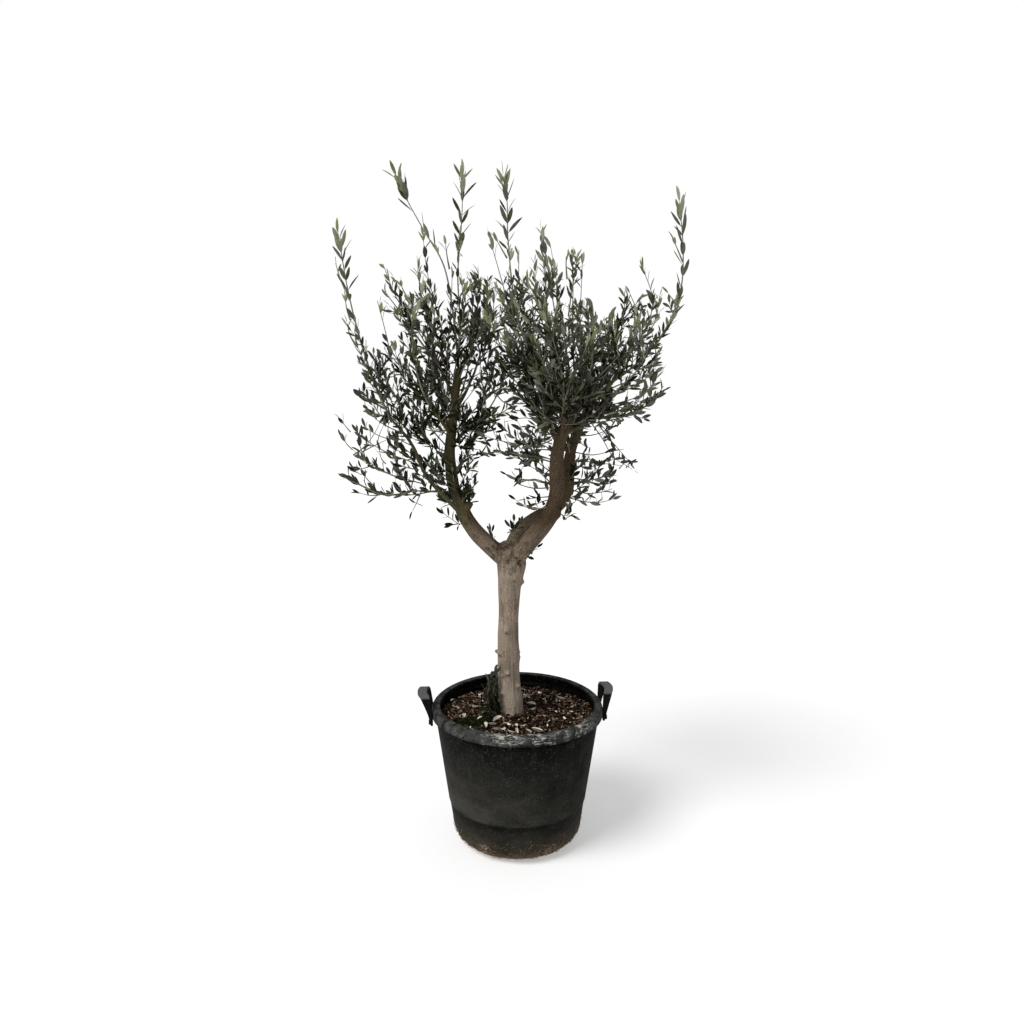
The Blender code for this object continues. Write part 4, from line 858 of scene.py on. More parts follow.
def makeBark(material):
    lines = planLimbs()
    shape = bmesh.new()
    for name, line in lines.items():
        addTube(shape, line, 28 if name == "trunk" else 18)
    for foot, end, first, last in stubs:
        addTube(shape, smoothPath([(*foot, first), (*end, last)], 0.006), 14)
    skin = addPiece("bark_skin", meshFromBmesh("bark_skin", shape), [])
    remesh = skin.modifiers.new("remesh", "REMESH")
    remesh.mode = "VOXEL"
    remesh.voxel_size = trunk["voxel"]
    smooth = skin.modifiers.new("smooth", "SMOOTH")
    smooth.factor = 0.5
    smooth.iterations = trunk["blend"]
    piece = settle(skin, "bark")
    mesh = piece.data
    count = len(mesh.vertices)
    places = np.empty(count * 3)
    normals = np.empty(count * 3)
    mesh.vertices.foreach_get("co", places)
    mesh.vertices.foreach_get("normal", normals)
    places = places.reshape(-1, 3)
    normals = normals.reshape(-1, 3)
    spin, along, size = nearestOnLimbs(places, lines)
    grain = np.stack((np.cos(spin) * size, np.sin(spin) * size, along), axis=1)
    boughToneAndRearShade = np.clip((places[:, 2] - 0.825) / 0.175, 0.0, 1.0)
    # the rear bough also takes the darker bough tone, a painted shade on the bough behind
    rear = np.clip((places[:, 1] - 0.012) / 0.034, 0.0, 1.0)
    rear *= np.clip((places[:, 2] - 0.862) / 0.045, 0.0, 1.0)
    boughToneAndRearShade = np.maximum(boughToneAndRearShade, rear)
    relief = np.empty(count)
    for index in range(count):
        x, y, z = grain[index]
        ridge = noise.noise(Vector((x * 190.0, y * 190.0, z * 17.0)))
        crack = 1.0 - abs(noise.noise(Vector((x * 95.0 + 3.0, y * 95.0, z * 8.0))) * 2.4)
        lump = noise.noise(Vector((x * 30.0, y * 30.0, z * 13.0 + 9.0)))
        fissure = ridge * 0.8 - max(0.0, crack) ** 3 * 0.9
        relief[index] = trunk["fissure"] * fissure + trunk["lump"] * lump
    relief *= np.clip(size / 0.033, 0.22, 1.0) * np.where(size > 0.015, 1.0, 0.6)
    # painted shade in the fissures, with the darker bark inside them, stronger towards the fork
    deep = np.clip((places[:, 2] - 0.8) / 0.12, 0.0, 1.0)
    hollowShadeAndHighlight = np.clip(-relief / (trunk["fissure"] * 1.6), 0.0, 1.0) ** 1.4 * (0.5 + 0.3 * deep)
    for place, width, height in knots:
        # each is set on the skin, in front or behind
        beside = np.hypot(places[:, 0] - place[0],
                          places[:, 2] - place[2]) + np.abs(places[:, 1] - place[1]) * 0.2
        place = places[int(np.argmin(np.where(places[:, 1] * place[1] >= 0.0, beside, 9.0)))]
        near = np.linalg.norm(places - np.array(place), axis=1) / width
        relief += height * np.exp(-near ** 2)
        if height > 0.0:
            # a knob: a painted highlight on its crown and a painted shadow in the crease below it
            below = np.array(place) - np.array((0.0, 0.0, width * 1.1))
            crease = np.linalg.norm(places - below, axis=1) / width
            crown = (0.8 if place[2] < 0.7 else 0.2) * np.exp(-(near / 0.7) ** 2)
            hollowShadeAndHighlight = np.maximum(hollowShadeAndHighlight, 0.7 * np.exp(-(crease / 0.55) ** 2)) - crown
        else:
            # a pit: darkened, its own darker bark and painted shade inside it
            hollowShadeAndHighlight = np.maximum(hollowShadeAndHighlight, 0.95 * np.exp(-(near / 0.9) ** 2))
    # the foot of the trunk spreads in a few low ribs
    rise = np.clip((0.425 - places[:, 2]) / 0.04, 0.0, 1.0) * (size > 0.03)
    relief += rise * 0.0022 * np.sin(spin * 5.0 + 0.8)
    mesh.vertices.foreach_set("co", (places + normals * relief[:, None]).ravel())
    for name, kind, values in (("grainPlace", "FLOAT_VECTOR", grain.ravel()),
                               ("boughToneAndRearShade", "FLOAT", boughToneAndRearShade),
                               ("hollowShadeAndHighlight", "FLOAT", hollowShadeAndHighlight)):
        layer = mesh.attributes.new(name, kind, "POINT")
        layer.data.foreach_set("vector" if kind == "FLOAT_VECTOR" else "value", values)
    mesh.materials.append(material)
    mesh.shade_smooth()
    mesh.update()
    finishPiece(piece, "bark", "trunk", *limbs)
    return lines


limbLines = makeBark(makeBarkWood())
print("bark made")


# foliage: every mass grows on from its bough's tip in wands, side twigs and pairs of leaves

# each mass: the limb whose tip carries it, its reach from the stem, the number of twigs, the share of the
# stem that has twigs, points on the stem, and how full and how level it grows
masses = {
    "left_low_foliage": {
        "on": "left_low_branch", "reach": 0.125, "twigs": 8, "span": (0.1, 0.9), "group": "left_low",
        "fill": 0.34, "kind": "low",
        "points": ((-0.345, -0.03, 1.06), (-0.403, -0.05, 1.067), (-0.49, -0.06, 1.112)),
    },
    "left_low_rear_foliage": {
        "on": "left_low_branch", "reach": 0.125, "twigs": 8, "span": (0.1, 0.9), "group": "left_low",
        "fill": 0.3, "kind": "low",
        "points": ((-0.335, 0.04, 1.094), (-0.39, 0.085, 1.11), (-0.48, 0.12, 1.156)),
    },
    "left_side_foliage": {
        "on": "left_outer_bough", "reach": 0.13, "twigs": 9, "span": (0.06, 0.9), "group": "left_low",
        "fill": 0.36,
        "points": ((-0.4, -0.065, 1.292), (-0.43, -0.085, 1.3), (-0.462, -0.1, 1.306)),
    },
    "far_left_foliage": {
        "on": "left_outer_bough", "reach": 0.13, "twigs": 10, "span": (0.06, 0.56), "group": "left_outer",
        "fill": 0.35,
        "points": ((-0.404, -0.03, 1.373), (-0.447, -0.01, 1.502), (-0.48, 0.0, 1.64),
                   (-0.502, 0.0, 1.79)),
    },
    "left_front_foliage": {
        "on": "left_front_branch", "reach": 0.17, "twigs": 11, "span": (0.06, 0.94),
        "group": "left_outer",
        "fill": 0.28,
        "points": ((-0.262, -0.165, 1.375), (-0.275, -0.205, 1.47), (-0.27, -0.225, 1.59)),
    },
    "left_back_foliage": {
        "on": "left_back_branch", "reach": 0.18, "twigs": 11, "span": (0.06, 0.94), "group": "left_outer",
        "fill": 0.26,
        "points": ((-0.262, 0.185, 1.405), (-0.28, 0.23, 1.53), (-0.27, 0.24, 1.68)),
    },
    "left_upper_foliage": {
        "on": "left_upper_branch", "reach": 0.125, "twigs": 10, "span": (0.06, 0.94), "group": "left_mid",
        "fill": 0.5,
        "points": ((-0.29, -0.015, 1.515), (-0.34, -0.04, 1.59), (-0.375, -0.05, 1.635)),
    },
    "left_high_foliage": {
        "on": "left_upper_branch", "reach": 0.14, "twigs": 10, "span": (0.12, 0.94), "group": "left_mid",
        "fill": 0.5,
        "points": ((-0.25, 0.01, 1.53), (-0.272, 0.005, 1.62), (-0.283, 0.0, 1.705)),
    },
    "left_shoot_foliage": {
        "on": "left_bough_upper", "reach": 0.12, "twigs": 9, "span": (0.14, 0.62), "group": "left_mid",
        "fill": 0.3,
        "points": ((-0.18, -0.02, 1.56), (-0.206, -0.01, 1.7), (-0.26, 0.0, 1.796),
                   (-0.305, 0.0, 1.876), (-0.336, 0.0, 1.944)),
    },
    "left_top_foliage": {
        "on": "left_bough_upper", "reach": 0.135, "twigs": 11, "span": (0.08, 0.66),
        "group": "left_inner",
        "fill": 0.44,
        "points": ((-0.168, 0.06, 1.56), (-0.172, 0.055, 1.69), (-0.158, 0.02, 1.824),
                   (-0.152, 0.0, 1.944)),
    },
    "left_inner_foliage": {
        "on": "left_inner_branch", "reach": 0.13, "twigs": 11, "span": (0.06, 0.92),
        "group": "left_inner",
        "fill": 0.8,
        "points": ((-0.104, 0.075, 1.49), (-0.09, 0.085, 1.62), (-0.09, 0.065, 1.772)),
    },
    "left_inner_low_foliage": {
        "on": "left_inner_low_branch", "reach": 0.12, "twigs": 10, "span": (0.06, 0.94),
        "group": "left_inner",
        "fill": 1.2,
        "points": ((-0.095, -0.025, 1.288), (-0.058, -0.04, 1.345), (-0.038, -0.045, 1.405)),
    },
    "inner_low_foliage": {
        "on": "inner_low_branch", "reach": 0.11, "twigs": 8, "span": (0.05, 0.92), "group": "middle",
        "fill": 0.5, "kind": "low",
        "points": ((0.03, -0.09, 1.108), (-0.005, -0.082, 1.113), (-0.03, -0.075, 1.122)),
    },
    "mid_shoot_foliage": {
        "on": "right_inner_bough", "reach": 0.13, "twigs": 11, "span": (0.06, 0.66), "group": "middle",
        "fill": 0.65,
        "points": ((0.02, -0.08, 1.495), (-0.01, -0.05, 1.605), (-0.027, 0.0, 1.774),
                   (-0.03, 0.0, 1.881), (-0.04, 0.0, 1.944)),
    },
    "mid_top_foliage": {
        "on": "right_inner_bough", "reach": 0.135, "twigs": 10, "span": (0.08, 0.92), "group": "middle",
        "fill": 0.42,
        "points": ((0.08, -0.11, 1.5), (0.076, -0.09, 1.628), (0.064, -0.055, 1.758)),
    },
    "right_front_top_foliage": {
        "on": "right_front_bough_upper", "reach": 0.13, "twigs": 11, "span": (0.06, 0.92),
        "group": "right_front",
        "fill": 0.5,
        "points": ((0.2, -0.125, 1.43), (0.202, -0.13, 1.56), (0.18, -0.105, 1.71)),
    },
    "right_mid_foliage": {
        "on": "right_low_branch", "reach": 0.14, "twigs": 11, "span": (0.08, 0.92),
        "group": "right_front",
        "fill": 0.42,
        "points": ((0.262, -0.15, 1.352), (0.315, -0.185, 1.41), (0.345, -0.2, 1.47)),
    },
    "right_low_foliage": {
        "on": "right_low_branch", "reach": 0.13, "twigs": 9, "span": (0.08, 0.92), "group": "right_front",
        "fill": 0.34,
        "points": ((0.29, -0.065, 1.286), (0.36, -0.035, 1.312), (0.42, -0.005, 1.356)),
    },
    "right_front_foliage": {
        "on": "right_front_branch", "reach": 0.18, "twigs": 12, "span": (0.06, 0.94),
        "group": "right_front",
        "fill": 0.85,
        "points": ((0.112, -0.24, 1.4), (0.088, -0.25, 1.49), (0.06, -0.235, 1.59)),
    },
    "far_right_foliage": {
        "on": "right_rear_bough_upper", "reach": 0.12, "twigs": 9, "span": (0.1, 0.6),
        "group": "right_outer",
        "fill": 0.3,
        "points": ((0.348, 0.08, 1.432), (0.44, 0.04, 1.545), (0.461, 0.0, 1.638),
                   (0.464, 0.0, 1.75), (0.45, 0.0, 1.875)),
    },
    "right_top_foliage": {
        "on": "right_rear_bough_upper", "reach": 0.13, "twigs": 11, "span": (0.08, 0.92),
        "group": "right_outer",
        "fill": 0.42,
        "points": ((0.262, 0.12, 1.445), (0.306, 0.105, 1.56), (0.346, 0.085, 1.68)),
    },
    "right_hanging_foliage": {
        "on": "right_rear_bough_upper", "reach": 0.13, "twigs": 9, "span": (0.14, 0.92),
        "group": "right_outer",
        "fill": 0.4, "kind": "low",
        "points": ((0.262, 0.15, 1.35), (0.311, 0.174, 1.278), (0.349, 0.186, 1.16)),
    },
    "right_rear_low_foliage": {
        "on": "right_rear_low_branch", "reach": 0.12, "twigs": 9, "span": (0.06, 0.92),
        "group": "right_back",
        "fill": 0.5, "kind": "low",
        "points": ((0.245, 0.166, 1.07), (0.282, 0.188, 1.066), (0.318, 0.205, 1.074)),
    },
    "right_back_foliage": {
        "on": "right_back_branch", "reach": 0.18, "twigs": 11, "span": (0.06, 0.94),
        "group": "right_back",
        "fill": 0.65,
        "points": ((0.24, 0.245, 1.44), (0.24, 0.265, 1.55), (0.215, 0.27, 1.68)),
    },
    "centre_back_foliage": {
        "on": "centre_back_branch", "reach": 0.18, "twigs": 11, "span": (0.06, 0.94),
        "group": "right_back",
        "fill": 0.8,
        "points": ((0.05, 0.23, 1.37), (0.0, 0.25, 1.5), (-0.02, 0.24, 1.65)),
    },
}

# single shoots that stand out: the kind, then points from the foot on the bough to the tip
wands = (
    ("low", ((-0.235, 0.0, 1.067), (-0.33, -0.013, 1.056), (-0.422, -0.031, 1.075),
             (-0.501, -0.05, 1.121))),
    ("low", ((-0.273, 0.0, 1.087), (-0.351, 0.019, 1.106), (-0.427, 0.043, 1.132),
             (-0.491, 0.07, 1.182))),
    ("low", ((-0.285, -0.02, 1.13), (-0.312, -0.041, 1.138), (-0.336, -0.069, 1.151),
             (-0.353, -0.1, 1.174))),
    ("low", ((-0.298, -0.02, 1.173), (-0.319, -0.001, 1.183), (-0.341, 0.023, 1.19),
             (-0.366, 0.05, 1.195))),
    ("low", ((-0.305, -0.02, 1.153), (-0.386, 0.012, 1.181), (-0.463, 0.054, 1.224),
             (-0.524, 0.1, 1.288))),
    ("low", ((-0.33, -0.03, 1.237), (-0.362, -0.059, 1.254), (-0.389, -0.098, 1.276),
             (-0.407, -0.14, 1.305))),
    ("low", ((-0.341, -0.03, 1.263), (-0.373, -0.038, 1.303), (-0.417, -0.048, 1.327),
             (-0.459, -0.06, 1.353))),
    ("low", ((-0.369, -0.03, 1.308), (-0.4, -0.014, 1.324), (-0.433, 0.007, 1.337),
             (-0.455, 0.03, 1.365))),
    ("low", ((-0.322, -0.03, 1.217), (-0.379, 0.01, 1.219), (-0.434, 0.062, 1.237),
             (-0.483, 0.12, 1.269))),
    ("low", ((-0.226, 0.0, 1.075), (-0.266, -0.032, 1.128), (-0.309, -0.074, 1.174),
             (-0.358, -0.12, 1.206))),
    ("low", ((-0.238, 0.01, 1.127), (-0.294, 0.045, 1.158), (-0.35, 0.09, 1.192), (-0.408, 0.14, 1.226))),
    ("leafy", ((-0.287, -0.02, 1.153), (-0.323, -0.035, 1.27), (-0.342, -0.055, 1.388),
             (-0.361, -0.077, 1.502), (-0.384, -0.1, 1.61))),
    ("leafy", ((-0.326, -0.02, 1.228), (-0.357, 0.001, 1.306), (-0.383, 0.029, 1.386),
             (-0.402, 0.06, 1.469))),
    ("leafy", ((-0.358, -0.03, 1.274), (-0.392, -0.027, 1.343), (-0.423, -0.024, 1.413),
             (-0.454, -0.02, 1.482))),
    ("leafy", ((-0.364, -0.03, 1.291), (-0.385, -0.001, 1.361), (-0.413, 0.038, 1.43),
             (-0.428, 0.08, 1.505))),
    ("leafy", ((-0.206, 0.0, 1.33), (-0.235, 0.004, 1.433), (-0.285, 0.009, 1.527),
               (-0.343, 0.014, 1.615),
             (-0.382, 0.02, 1.712))),
    ("leafy", ((-0.196, 0.02, 1.353), (-0.217, 0.035, 1.452), (-0.248, 0.055, 1.548),
               (-0.283, 0.077, 1.645),
             (-0.294, 0.1, 1.747))),
    ("leafy", ((-0.195, 0.02, 1.387), (-0.208, 0.005, 1.49), (-0.229, -0.015, 1.587),
             (-0.251, -0.037, 1.681), (-0.259, -0.06, 1.774))),
    ("leafy", ((-0.203, 0.02, 1.243), (-0.248, -0.023, 1.327), (-0.312, -0.078, 1.388),
             (-0.333, -0.14, 1.47))),
    ("leafy", ((-0.209, 0.02, 1.197), (-0.269, 0.057, 1.263), (-0.32, 0.106, 1.338),
             (-0.352, 0.16, 1.426))),
    ("leafy", ((-0.215, 0.02, 1.156), (-0.253, -0.012, 1.211), (-0.283, -0.054, 1.267),
             (-0.303, -0.1, 1.326))),
    ("leafy", ((-0.197, 0.02, 1.272), (-0.227, 0.039, 1.35), (-0.279, 0.064, 1.418),
               (-0.329, 0.091, 1.488),
             (-0.38, 0.12, 1.56))),
    ("leafy", ((-0.191, 0.02, 1.214), (-0.224, -0.028, 1.279), (-0.251, -0.091, 1.342),
             (-0.262, -0.16, 1.406))),
    ("leafy", ((-0.181, 0.02, 1.126), (-0.125, 0.001, 1.213), (-0.091, -0.023, 1.307),
             (-0.106, -0.05, 1.403))),
    ("leafy", ((-0.178, 0.02, 1.353), (-0.111, 0.039, 1.387), (-0.084, 0.063, 1.457),
             (-0.087, 0.09, 1.534))),
    ("leafy", ((-0.187, 0.02, 1.109), (-0.158, 0.031, 1.148), (-0.119, 0.045, 1.171),
             (-0.07, 0.06, 1.17))),
    ("leafy", ((-0.175, 0.02, 1.067), (-0.159, -0.007, 1.099), (-0.14, -0.041, 1.131),
             (-0.112, -0.08, 1.147))),
    ("low", ((-0.17, 0.02, 1.037), (-0.153, 0.009, 1.065), (-0.126, -0.005, 1.082),
             (-0.106, -0.02, 1.107))),
    ("low", ((-0.164, 0.02, 1.025), (-0.155, -0.012, 1.047), (-0.142, -0.054, 1.066),
             (-0.122, -0.1, 1.076))),
    ("leafy", ((-0.18, 0.02, 1.214), (-0.143, -0.017, 1.254), (-0.095, -0.066, 1.275),
             (-0.049, -0.12, 1.261))),
    ("leafy", ((-0.179, 0.02, 1.243), (-0.136, 0.041, 1.292), (-0.089, 0.069, 1.338),
             (-0.052, 0.1, 1.389))),
    ("leafy", ((-0.179, 0.02, 1.301), (-0.15, 0.02, 1.393), (-0.132, 0.02, 1.487), (-0.128, 0.02, 1.581),
             (-0.135, 0.02, 1.674))),
    ("leafy", ((-0.178, 0.02, 1.359), (-0.149, 0.039, 1.453), (-0.123, 0.064, 1.549),
               (-0.113, 0.091, 1.648),
             (-0.119, 0.12, 1.75))),
    ("leafy", ((-0.172, 0.02, 1.387), (-0.131, -0.012, 1.474), (-0.092, -0.054, 1.558),
             (-0.075, -0.1, 1.642))),
    ("leafy", ((-0.19, 0.02, 1.33), (-0.205, 0.02, 1.417), (-0.198, 0.02, 1.506), (-0.19, 0.02, 1.593),
             (-0.186, 0.02, 1.679))),
    ("leafy", ((-0.184, 0.02, 1.387), (-0.168, -0.017, 1.478), (-0.151, -0.066, 1.564),
             (-0.15, -0.12, 1.645))),
    ("leafy", ((0.156, -0.09, 1.331), (0.083, -0.096, 1.376), (0.012, -0.103, 1.42),
             (-0.046, -0.111, 1.478), (-0.081, -0.12, 1.55))),
    ("leafy", ((0.15, -0.09, 1.342), (0.057, -0.069, 1.429), (-0.01, -0.042, 1.538),
             (-0.045, -0.012, 1.663), (-0.081, 0.02, 1.789))),
    ("leafy", ((0.145, -0.09, 1.32), (0.065, -0.109, 1.338), (-0.002, -0.133, 1.377),
             (-0.048, -0.16, 1.437))),
    ("leafy", ((0.139, -0.09, 1.353), (0.079, -0.077, 1.441), (0.032, -0.06, 1.535),
               (0.005, -0.04, 1.637),
             (0.003, -0.02, 1.744))),
    ("leafy", ((0.144, -0.09, 1.358), (0.106, -0.062, 1.442), (0.074, -0.025, 1.531),
               (0.053, 0.016, 1.625),
             (0.05, 0.06, 1.724))),
    ("leafy", ((0.15, -0.09, 1.358), (0.121, -0.092, 1.466), (0.1, -0.094, 1.573), (0.081, -0.097, 1.678),
             (0.062, -0.1, 1.782))),
    ("leafy", ((0.155, -0.09, 1.358), (0.136, -0.073, 1.459), (0.123, -0.051, 1.562),
               (0.107, -0.026, 1.665),
             (0.09, 0.0, 1.769))),
    ("leafy", ((0.161, -0.09, 1.358), (0.155, -0.062, 1.458), (0.154, -0.025, 1.559),
               (0.157, 0.016, 1.662),
             (0.154, 0.06, 1.768))),
    ("leafy", ((0.164, -0.09, 1.364), (0.17, -0.099, 1.46), (0.168, -0.112, 1.554), (0.17, -0.125, 1.645),
             (0.171, -0.14, 1.734))),
    ("leafy", ((0.179, 0.0, 1.364), (0.198, 0.021, 1.451), (0.208, 0.049, 1.54), (0.197, 0.08, 1.631))),
    ("leafy", ((0.191, 0.0, 1.364), (0.215, 0.005, 1.428), (0.229, 0.012, 1.495), (0.224, 0.02, 1.563))),
    ("leafy", ((0.117, -0.09, 1.276), (0.063, -0.114, 1.303), (0.013, -0.145, 1.334),
             (-0.032, -0.18, 1.369))),
    ("low", ((0.107, -0.09, 1.248), (0.066, -0.109, 1.268), (0.024, -0.133, 1.283),
             (-0.016, -0.16, 1.278))),
    ("leafy", ((0.212, 0.1, 1.353), (0.256, 0.079, 1.424), (0.282, 0.051, 1.5), (0.276, 0.02, 1.579))),
    ("leafy", ((0.218, 0.1, 1.353), (0.266, 0.091, 1.424), (0.296, 0.078, 1.502), (0.31, 0.065, 1.583),
             (0.309, 0.05, 1.664))),
    ("leafy", ((0.218, 0.1, 1.341), (0.291, 0.077, 1.425), (0.357, 0.048, 1.508), (0.385, 0.015, 1.605),
             (0.347, -0.02, 1.701))),
    ("leafy", ((0.224, 0.1, 1.353), (0.282, 0.104, 1.422), (0.348, 0.109, 1.483), (0.406, 0.114, 1.552),
             (0.423, 0.12, 1.635))),
    ("leafy", ((0.23, 0.1, 1.347), (0.294, 0.073, 1.394), (0.355, 0.039, 1.442), (0.401, 0.001, 1.498),
             (0.43, -0.04, 1.563))),
    ("leafy", ((0.224, 0.1, 1.335), (0.303, 0.116, 1.373), (0.388, 0.137, 1.403), (0.435, 0.16, 1.474))),
    ("leafy", ((0.2, -0.09, 1.326), (0.262, -0.109, 1.345), (0.319, -0.133, 1.371),
             (0.366, -0.16, 1.406))),
    ("low", ((0.195, -0.09, 1.265), (0.284, -0.098, 1.282), (0.363, -0.108, 1.321),
             (0.411, -0.12, 1.391))),
    ("low", ((0.19, -0.09, 1.287), (0.253, -0.119, 1.296), (0.307, -0.158, 1.321), (0.347, -0.2, 1.363))),
    ("low", ((0.2, -0.09, 1.304), (0.278, -0.077, 1.322), (0.353, -0.059, 1.349), (0.404, -0.04, 1.409))),
    ("low", ((0.217, 0.11, 1.269), (0.258, 0.126, 1.215), (0.297, 0.147, 1.155), (0.359, 0.17, 1.115))),
    ("low", ((0.183, 0.1, 1.21), (0.196, 0.121, 1.198), (0.21, 0.149, 1.187), (0.228, 0.18, 1.18))),
    ("low", ((0.16, 0.1, 1.143), (0.209, 0.127, 1.142), (0.26, 0.161, 1.138), (0.312, 0.2, 1.144))),
    ("low", ((0.16, 0.1, 1.125), (0.186, 0.111, 1.125), (0.205, 0.125, 1.141), (0.224, 0.14, 1.158))),
    ("low", ((0.164, 0.1, 1.07), (0.211, 0.132, 1.081), (0.261, 0.174, 1.087), (0.312, 0.22, 1.098))),
    ("low", ((0.164, 0.1, 1.058), (0.217, 0.116, 1.045), (0.274, 0.137, 1.05), (0.327, 0.16, 1.069))),
    ("low", ((0.161, 0.1, 1.033), (0.21, 0.127, 1.018), (0.262, 0.161, 1.012), (0.314, 0.2, 1.02))),
    ("low", ((0.158, 0.1, 1.045), (0.179, 0.105, 1.057), (0.199, 0.112, 1.071), (0.211, 0.12, 1.092))),
    ("low", ((0.155, 0.1, 1.027), (0.166, 0.095, 1.017), (0.174, 0.088, 1.021), (0.181, 0.08, 1.036))),
    ("low", ((0.089, -0.08, 1.033), (0.056, -0.085, 1.026), (0.023, -0.092, 1.032),
             (-0.005, -0.1, 1.053))),
    ("low", ((0.089, -0.08, 1.085), (0.042, -0.075, 1.084), (-0.002, -0.068, 1.097),
             (-0.042, -0.06, 1.122))),
    ("low", ((0.089, -0.08, 1.051), (0.072, -0.096, 1.049), (0.057, -0.117, 1.046),
             (0.042, -0.14, 1.042))),
    ("low", ((0.091, -0.08, 1.136), (0.08, -0.064, 1.126), (0.078, -0.043, 1.112),
             (0.082, -0.02, 1.095))),
    ("low", ((0.094, -0.08, 1.158), (0.057, -0.091, 1.169), (0.023, -0.105, 1.157),
             (0.003, -0.12, 1.128))),
    ("low", ((0.096, -0.08, 1.192), (0.045, -0.053, 1.19), (-0.004, -0.019, 1.165),
             (-0.054, 0.02, 1.179))),
    ("low", ((0.096, -0.08, 1.209), (0.057, -0.043, 1.22), (0.021, 0.006, 1.236), (-0.001, 0.06, 1.271))),
    ("low", ((0.096, -0.08, 1.22), (0.048, -0.101, 1.205), (0.0, -0.129, 1.223),
             (-0.038, -0.16, 1.257))),
    ("low", ((0.102, -0.08, 1.231), (0.068, -0.032, 1.244), (0.034, 0.031, 1.223), (0.002, 0.1, 1.192))),
    ("clump", ((0.092, -0.08, 1.1), (0.07, -0.085, 1.122), (0.048, -0.09, 1.14), (0.028, -0.09, 1.15))),
    ("clump", ((0.094, -0.08, 1.165), (0.06, -0.07, 1.176), (0.02, -0.06, 1.186), (-0.014, -0.05, 1.18))),
    ("clump", ((0.096, -0.08, 1.19), (0.074, -0.09, 1.205), (0.046, -0.1, 1.21))),
    ("clump", ((-0.059, -0.04, 1.345), (-0.035, -0.045, 1.352), (-0.01, -0.05, 1.362),
               (0.012, -0.055, 1.38))),
    ("clump", ((-0.059, -0.04, 1.345), (-0.042, -0.03, 1.326), (-0.02, -0.02, 1.318),
               (0.004, -0.01, 1.322))),
    ("clump", ((-0.097, -0.025, 1.288), (-0.083, -0.03, 1.264), (-0.07, -0.035, 1.244),
               (-0.06, -0.04, 1.222))),
    ("clump", ((-0.059, -0.04, 1.345), (-0.072, -0.05, 1.362), (-0.08, -0.06, 1.385))),
    ("clump", ((-0.185, 0.0, 1.085), (-0.212, -0.02, 1.105), (-0.24, -0.035, 1.128),
               (-0.255, -0.04, 1.15))),
    ("clump", ((-0.186, 0.0, 1.11), (-0.215, -0.03, 1.135), (-0.236, -0.05, 1.165))),
    ("clump", ((-0.182, 0.0, 1.07), (-0.21, -0.01, 1.085), (-0.236, -0.02, 1.095))),
    ("clump", ((-0.19, 0.0, 1.14), (-0.215, -0.01, 1.165), (-0.23, -0.02, 1.2))),
    ("leafy", ((-0.1, 0.075, 1.5), (-0.082, 0.055, 1.545), (-0.07, 0.035, 1.59), (-0.064, 0.02, 1.64))),
    ("leafy", ((-0.098, 0.075, 1.48), (-0.074, 0.08, 1.52), (-0.05, 0.085, 1.565), (-0.04, 0.085, 1.62))),
    ("leafy", ((-0.01, -0.06, 1.56), (-0.02, -0.05, 1.61), (-0.026, -0.04, 1.665), (-0.02, -0.03, 1.72))),
    ("leafy", ((0.28, 0.03, 1.42), (0.31, 0.02, 1.46), (0.33, 0.01, 1.505), (0.345, 0.0, 1.555))),
    ("leafy", ((0.24, 0.04, 1.44), (0.252, 0.04, 1.49), (0.262, 0.035, 1.545), (0.268, 0.03, 1.6))),
    ("leafy", ((0.33, 0.01, 1.505), (0.352, 0.004, 1.53), (0.382, -0.002, 1.548))),
    ("leafy", ((0.14, -0.06, 1.56), (0.148, -0.05, 1.62), (0.158, -0.045, 1.68), (0.166, -0.04, 1.735))),
    ("low", ((-0.47, -0.04, 1.175), (-0.44, -0.05, 1.195), (-0.41, -0.05, 1.23), (-0.392, -0.05, 1.262))),
    ("low", ((-0.43, -0.045, 1.15), (-0.445, -0.05, 1.19), (-0.452, -0.055, 1.235))),
    ("low", ((-0.1, -0.02, 1.27), (-0.12, -0.03, 1.245), (-0.135, -0.035, 1.205),
             (-0.14, -0.035, 1.165))),
    ("low", ((-0.1, -0.02, 1.27), (-0.096, -0.03, 1.235), (-0.086, -0.04, 1.2))),
    ("clump", ((0.094, -0.08, 1.13), (0.066, -0.07, 1.15), (0.036, -0.06, 1.178))),
    ("clump", ((-0.262, -0.03, 1.205), (-0.284, -0.04, 1.222), (-0.3, -0.045, 1.248))),
    ("clump", ((-0.25, -0.01, 1.19), (-0.262, -0.015, 1.222), (-0.268, -0.02, 1.258))),
    ("low", ((-0.4, -0.04, 1.21), (-0.392, -0.045, 1.235), (-0.378, -0.05, 1.262))),
    ("low", ((-0.43, -0.045, 1.128), (-0.448, -0.05, 1.12), (-0.462, -0.055, 1.13))),
    ("leafy", ((-0.262, -0.01, 1.44), (-0.29, -0.012, 1.49), (-0.312, -0.015, 1.54),
               (-0.33, -0.018, 1.585))),
    ("leafy", ((-0.245, 0.0, 1.42), (-0.243, -0.01, 1.48), (-0.238, -0.015, 1.54), (-0.23, -0.015, 1.6))),
    ("leafy", ((0.29, 0.04, 1.4), (0.3, 0.03, 1.44), (0.32, 0.02, 1.48), (0.334, 0.01, 1.53))),
    ("low", ((-0.36, -0.05, 1.21), (-0.366, -0.055, 1.238), (-0.364, -0.06, 1.268))),
    ("clump", ((0.245, 0.12, 1.257), (0.28, 0.13, 1.214), (0.319, 0.14, 1.171), (0.349, 0.15, 1.136))),
    ("low", ((0.172, 0.1, 1.173), (0.228, 0.12, 1.163), (0.282, 0.14, 1.171), (0.33, 0.15, 1.179))),
    ("low", ((0.166, 0.1, 1.131), (0.223, 0.12, 1.126), (0.274, 0.14, 1.134), (0.324, 0.15, 1.127))),
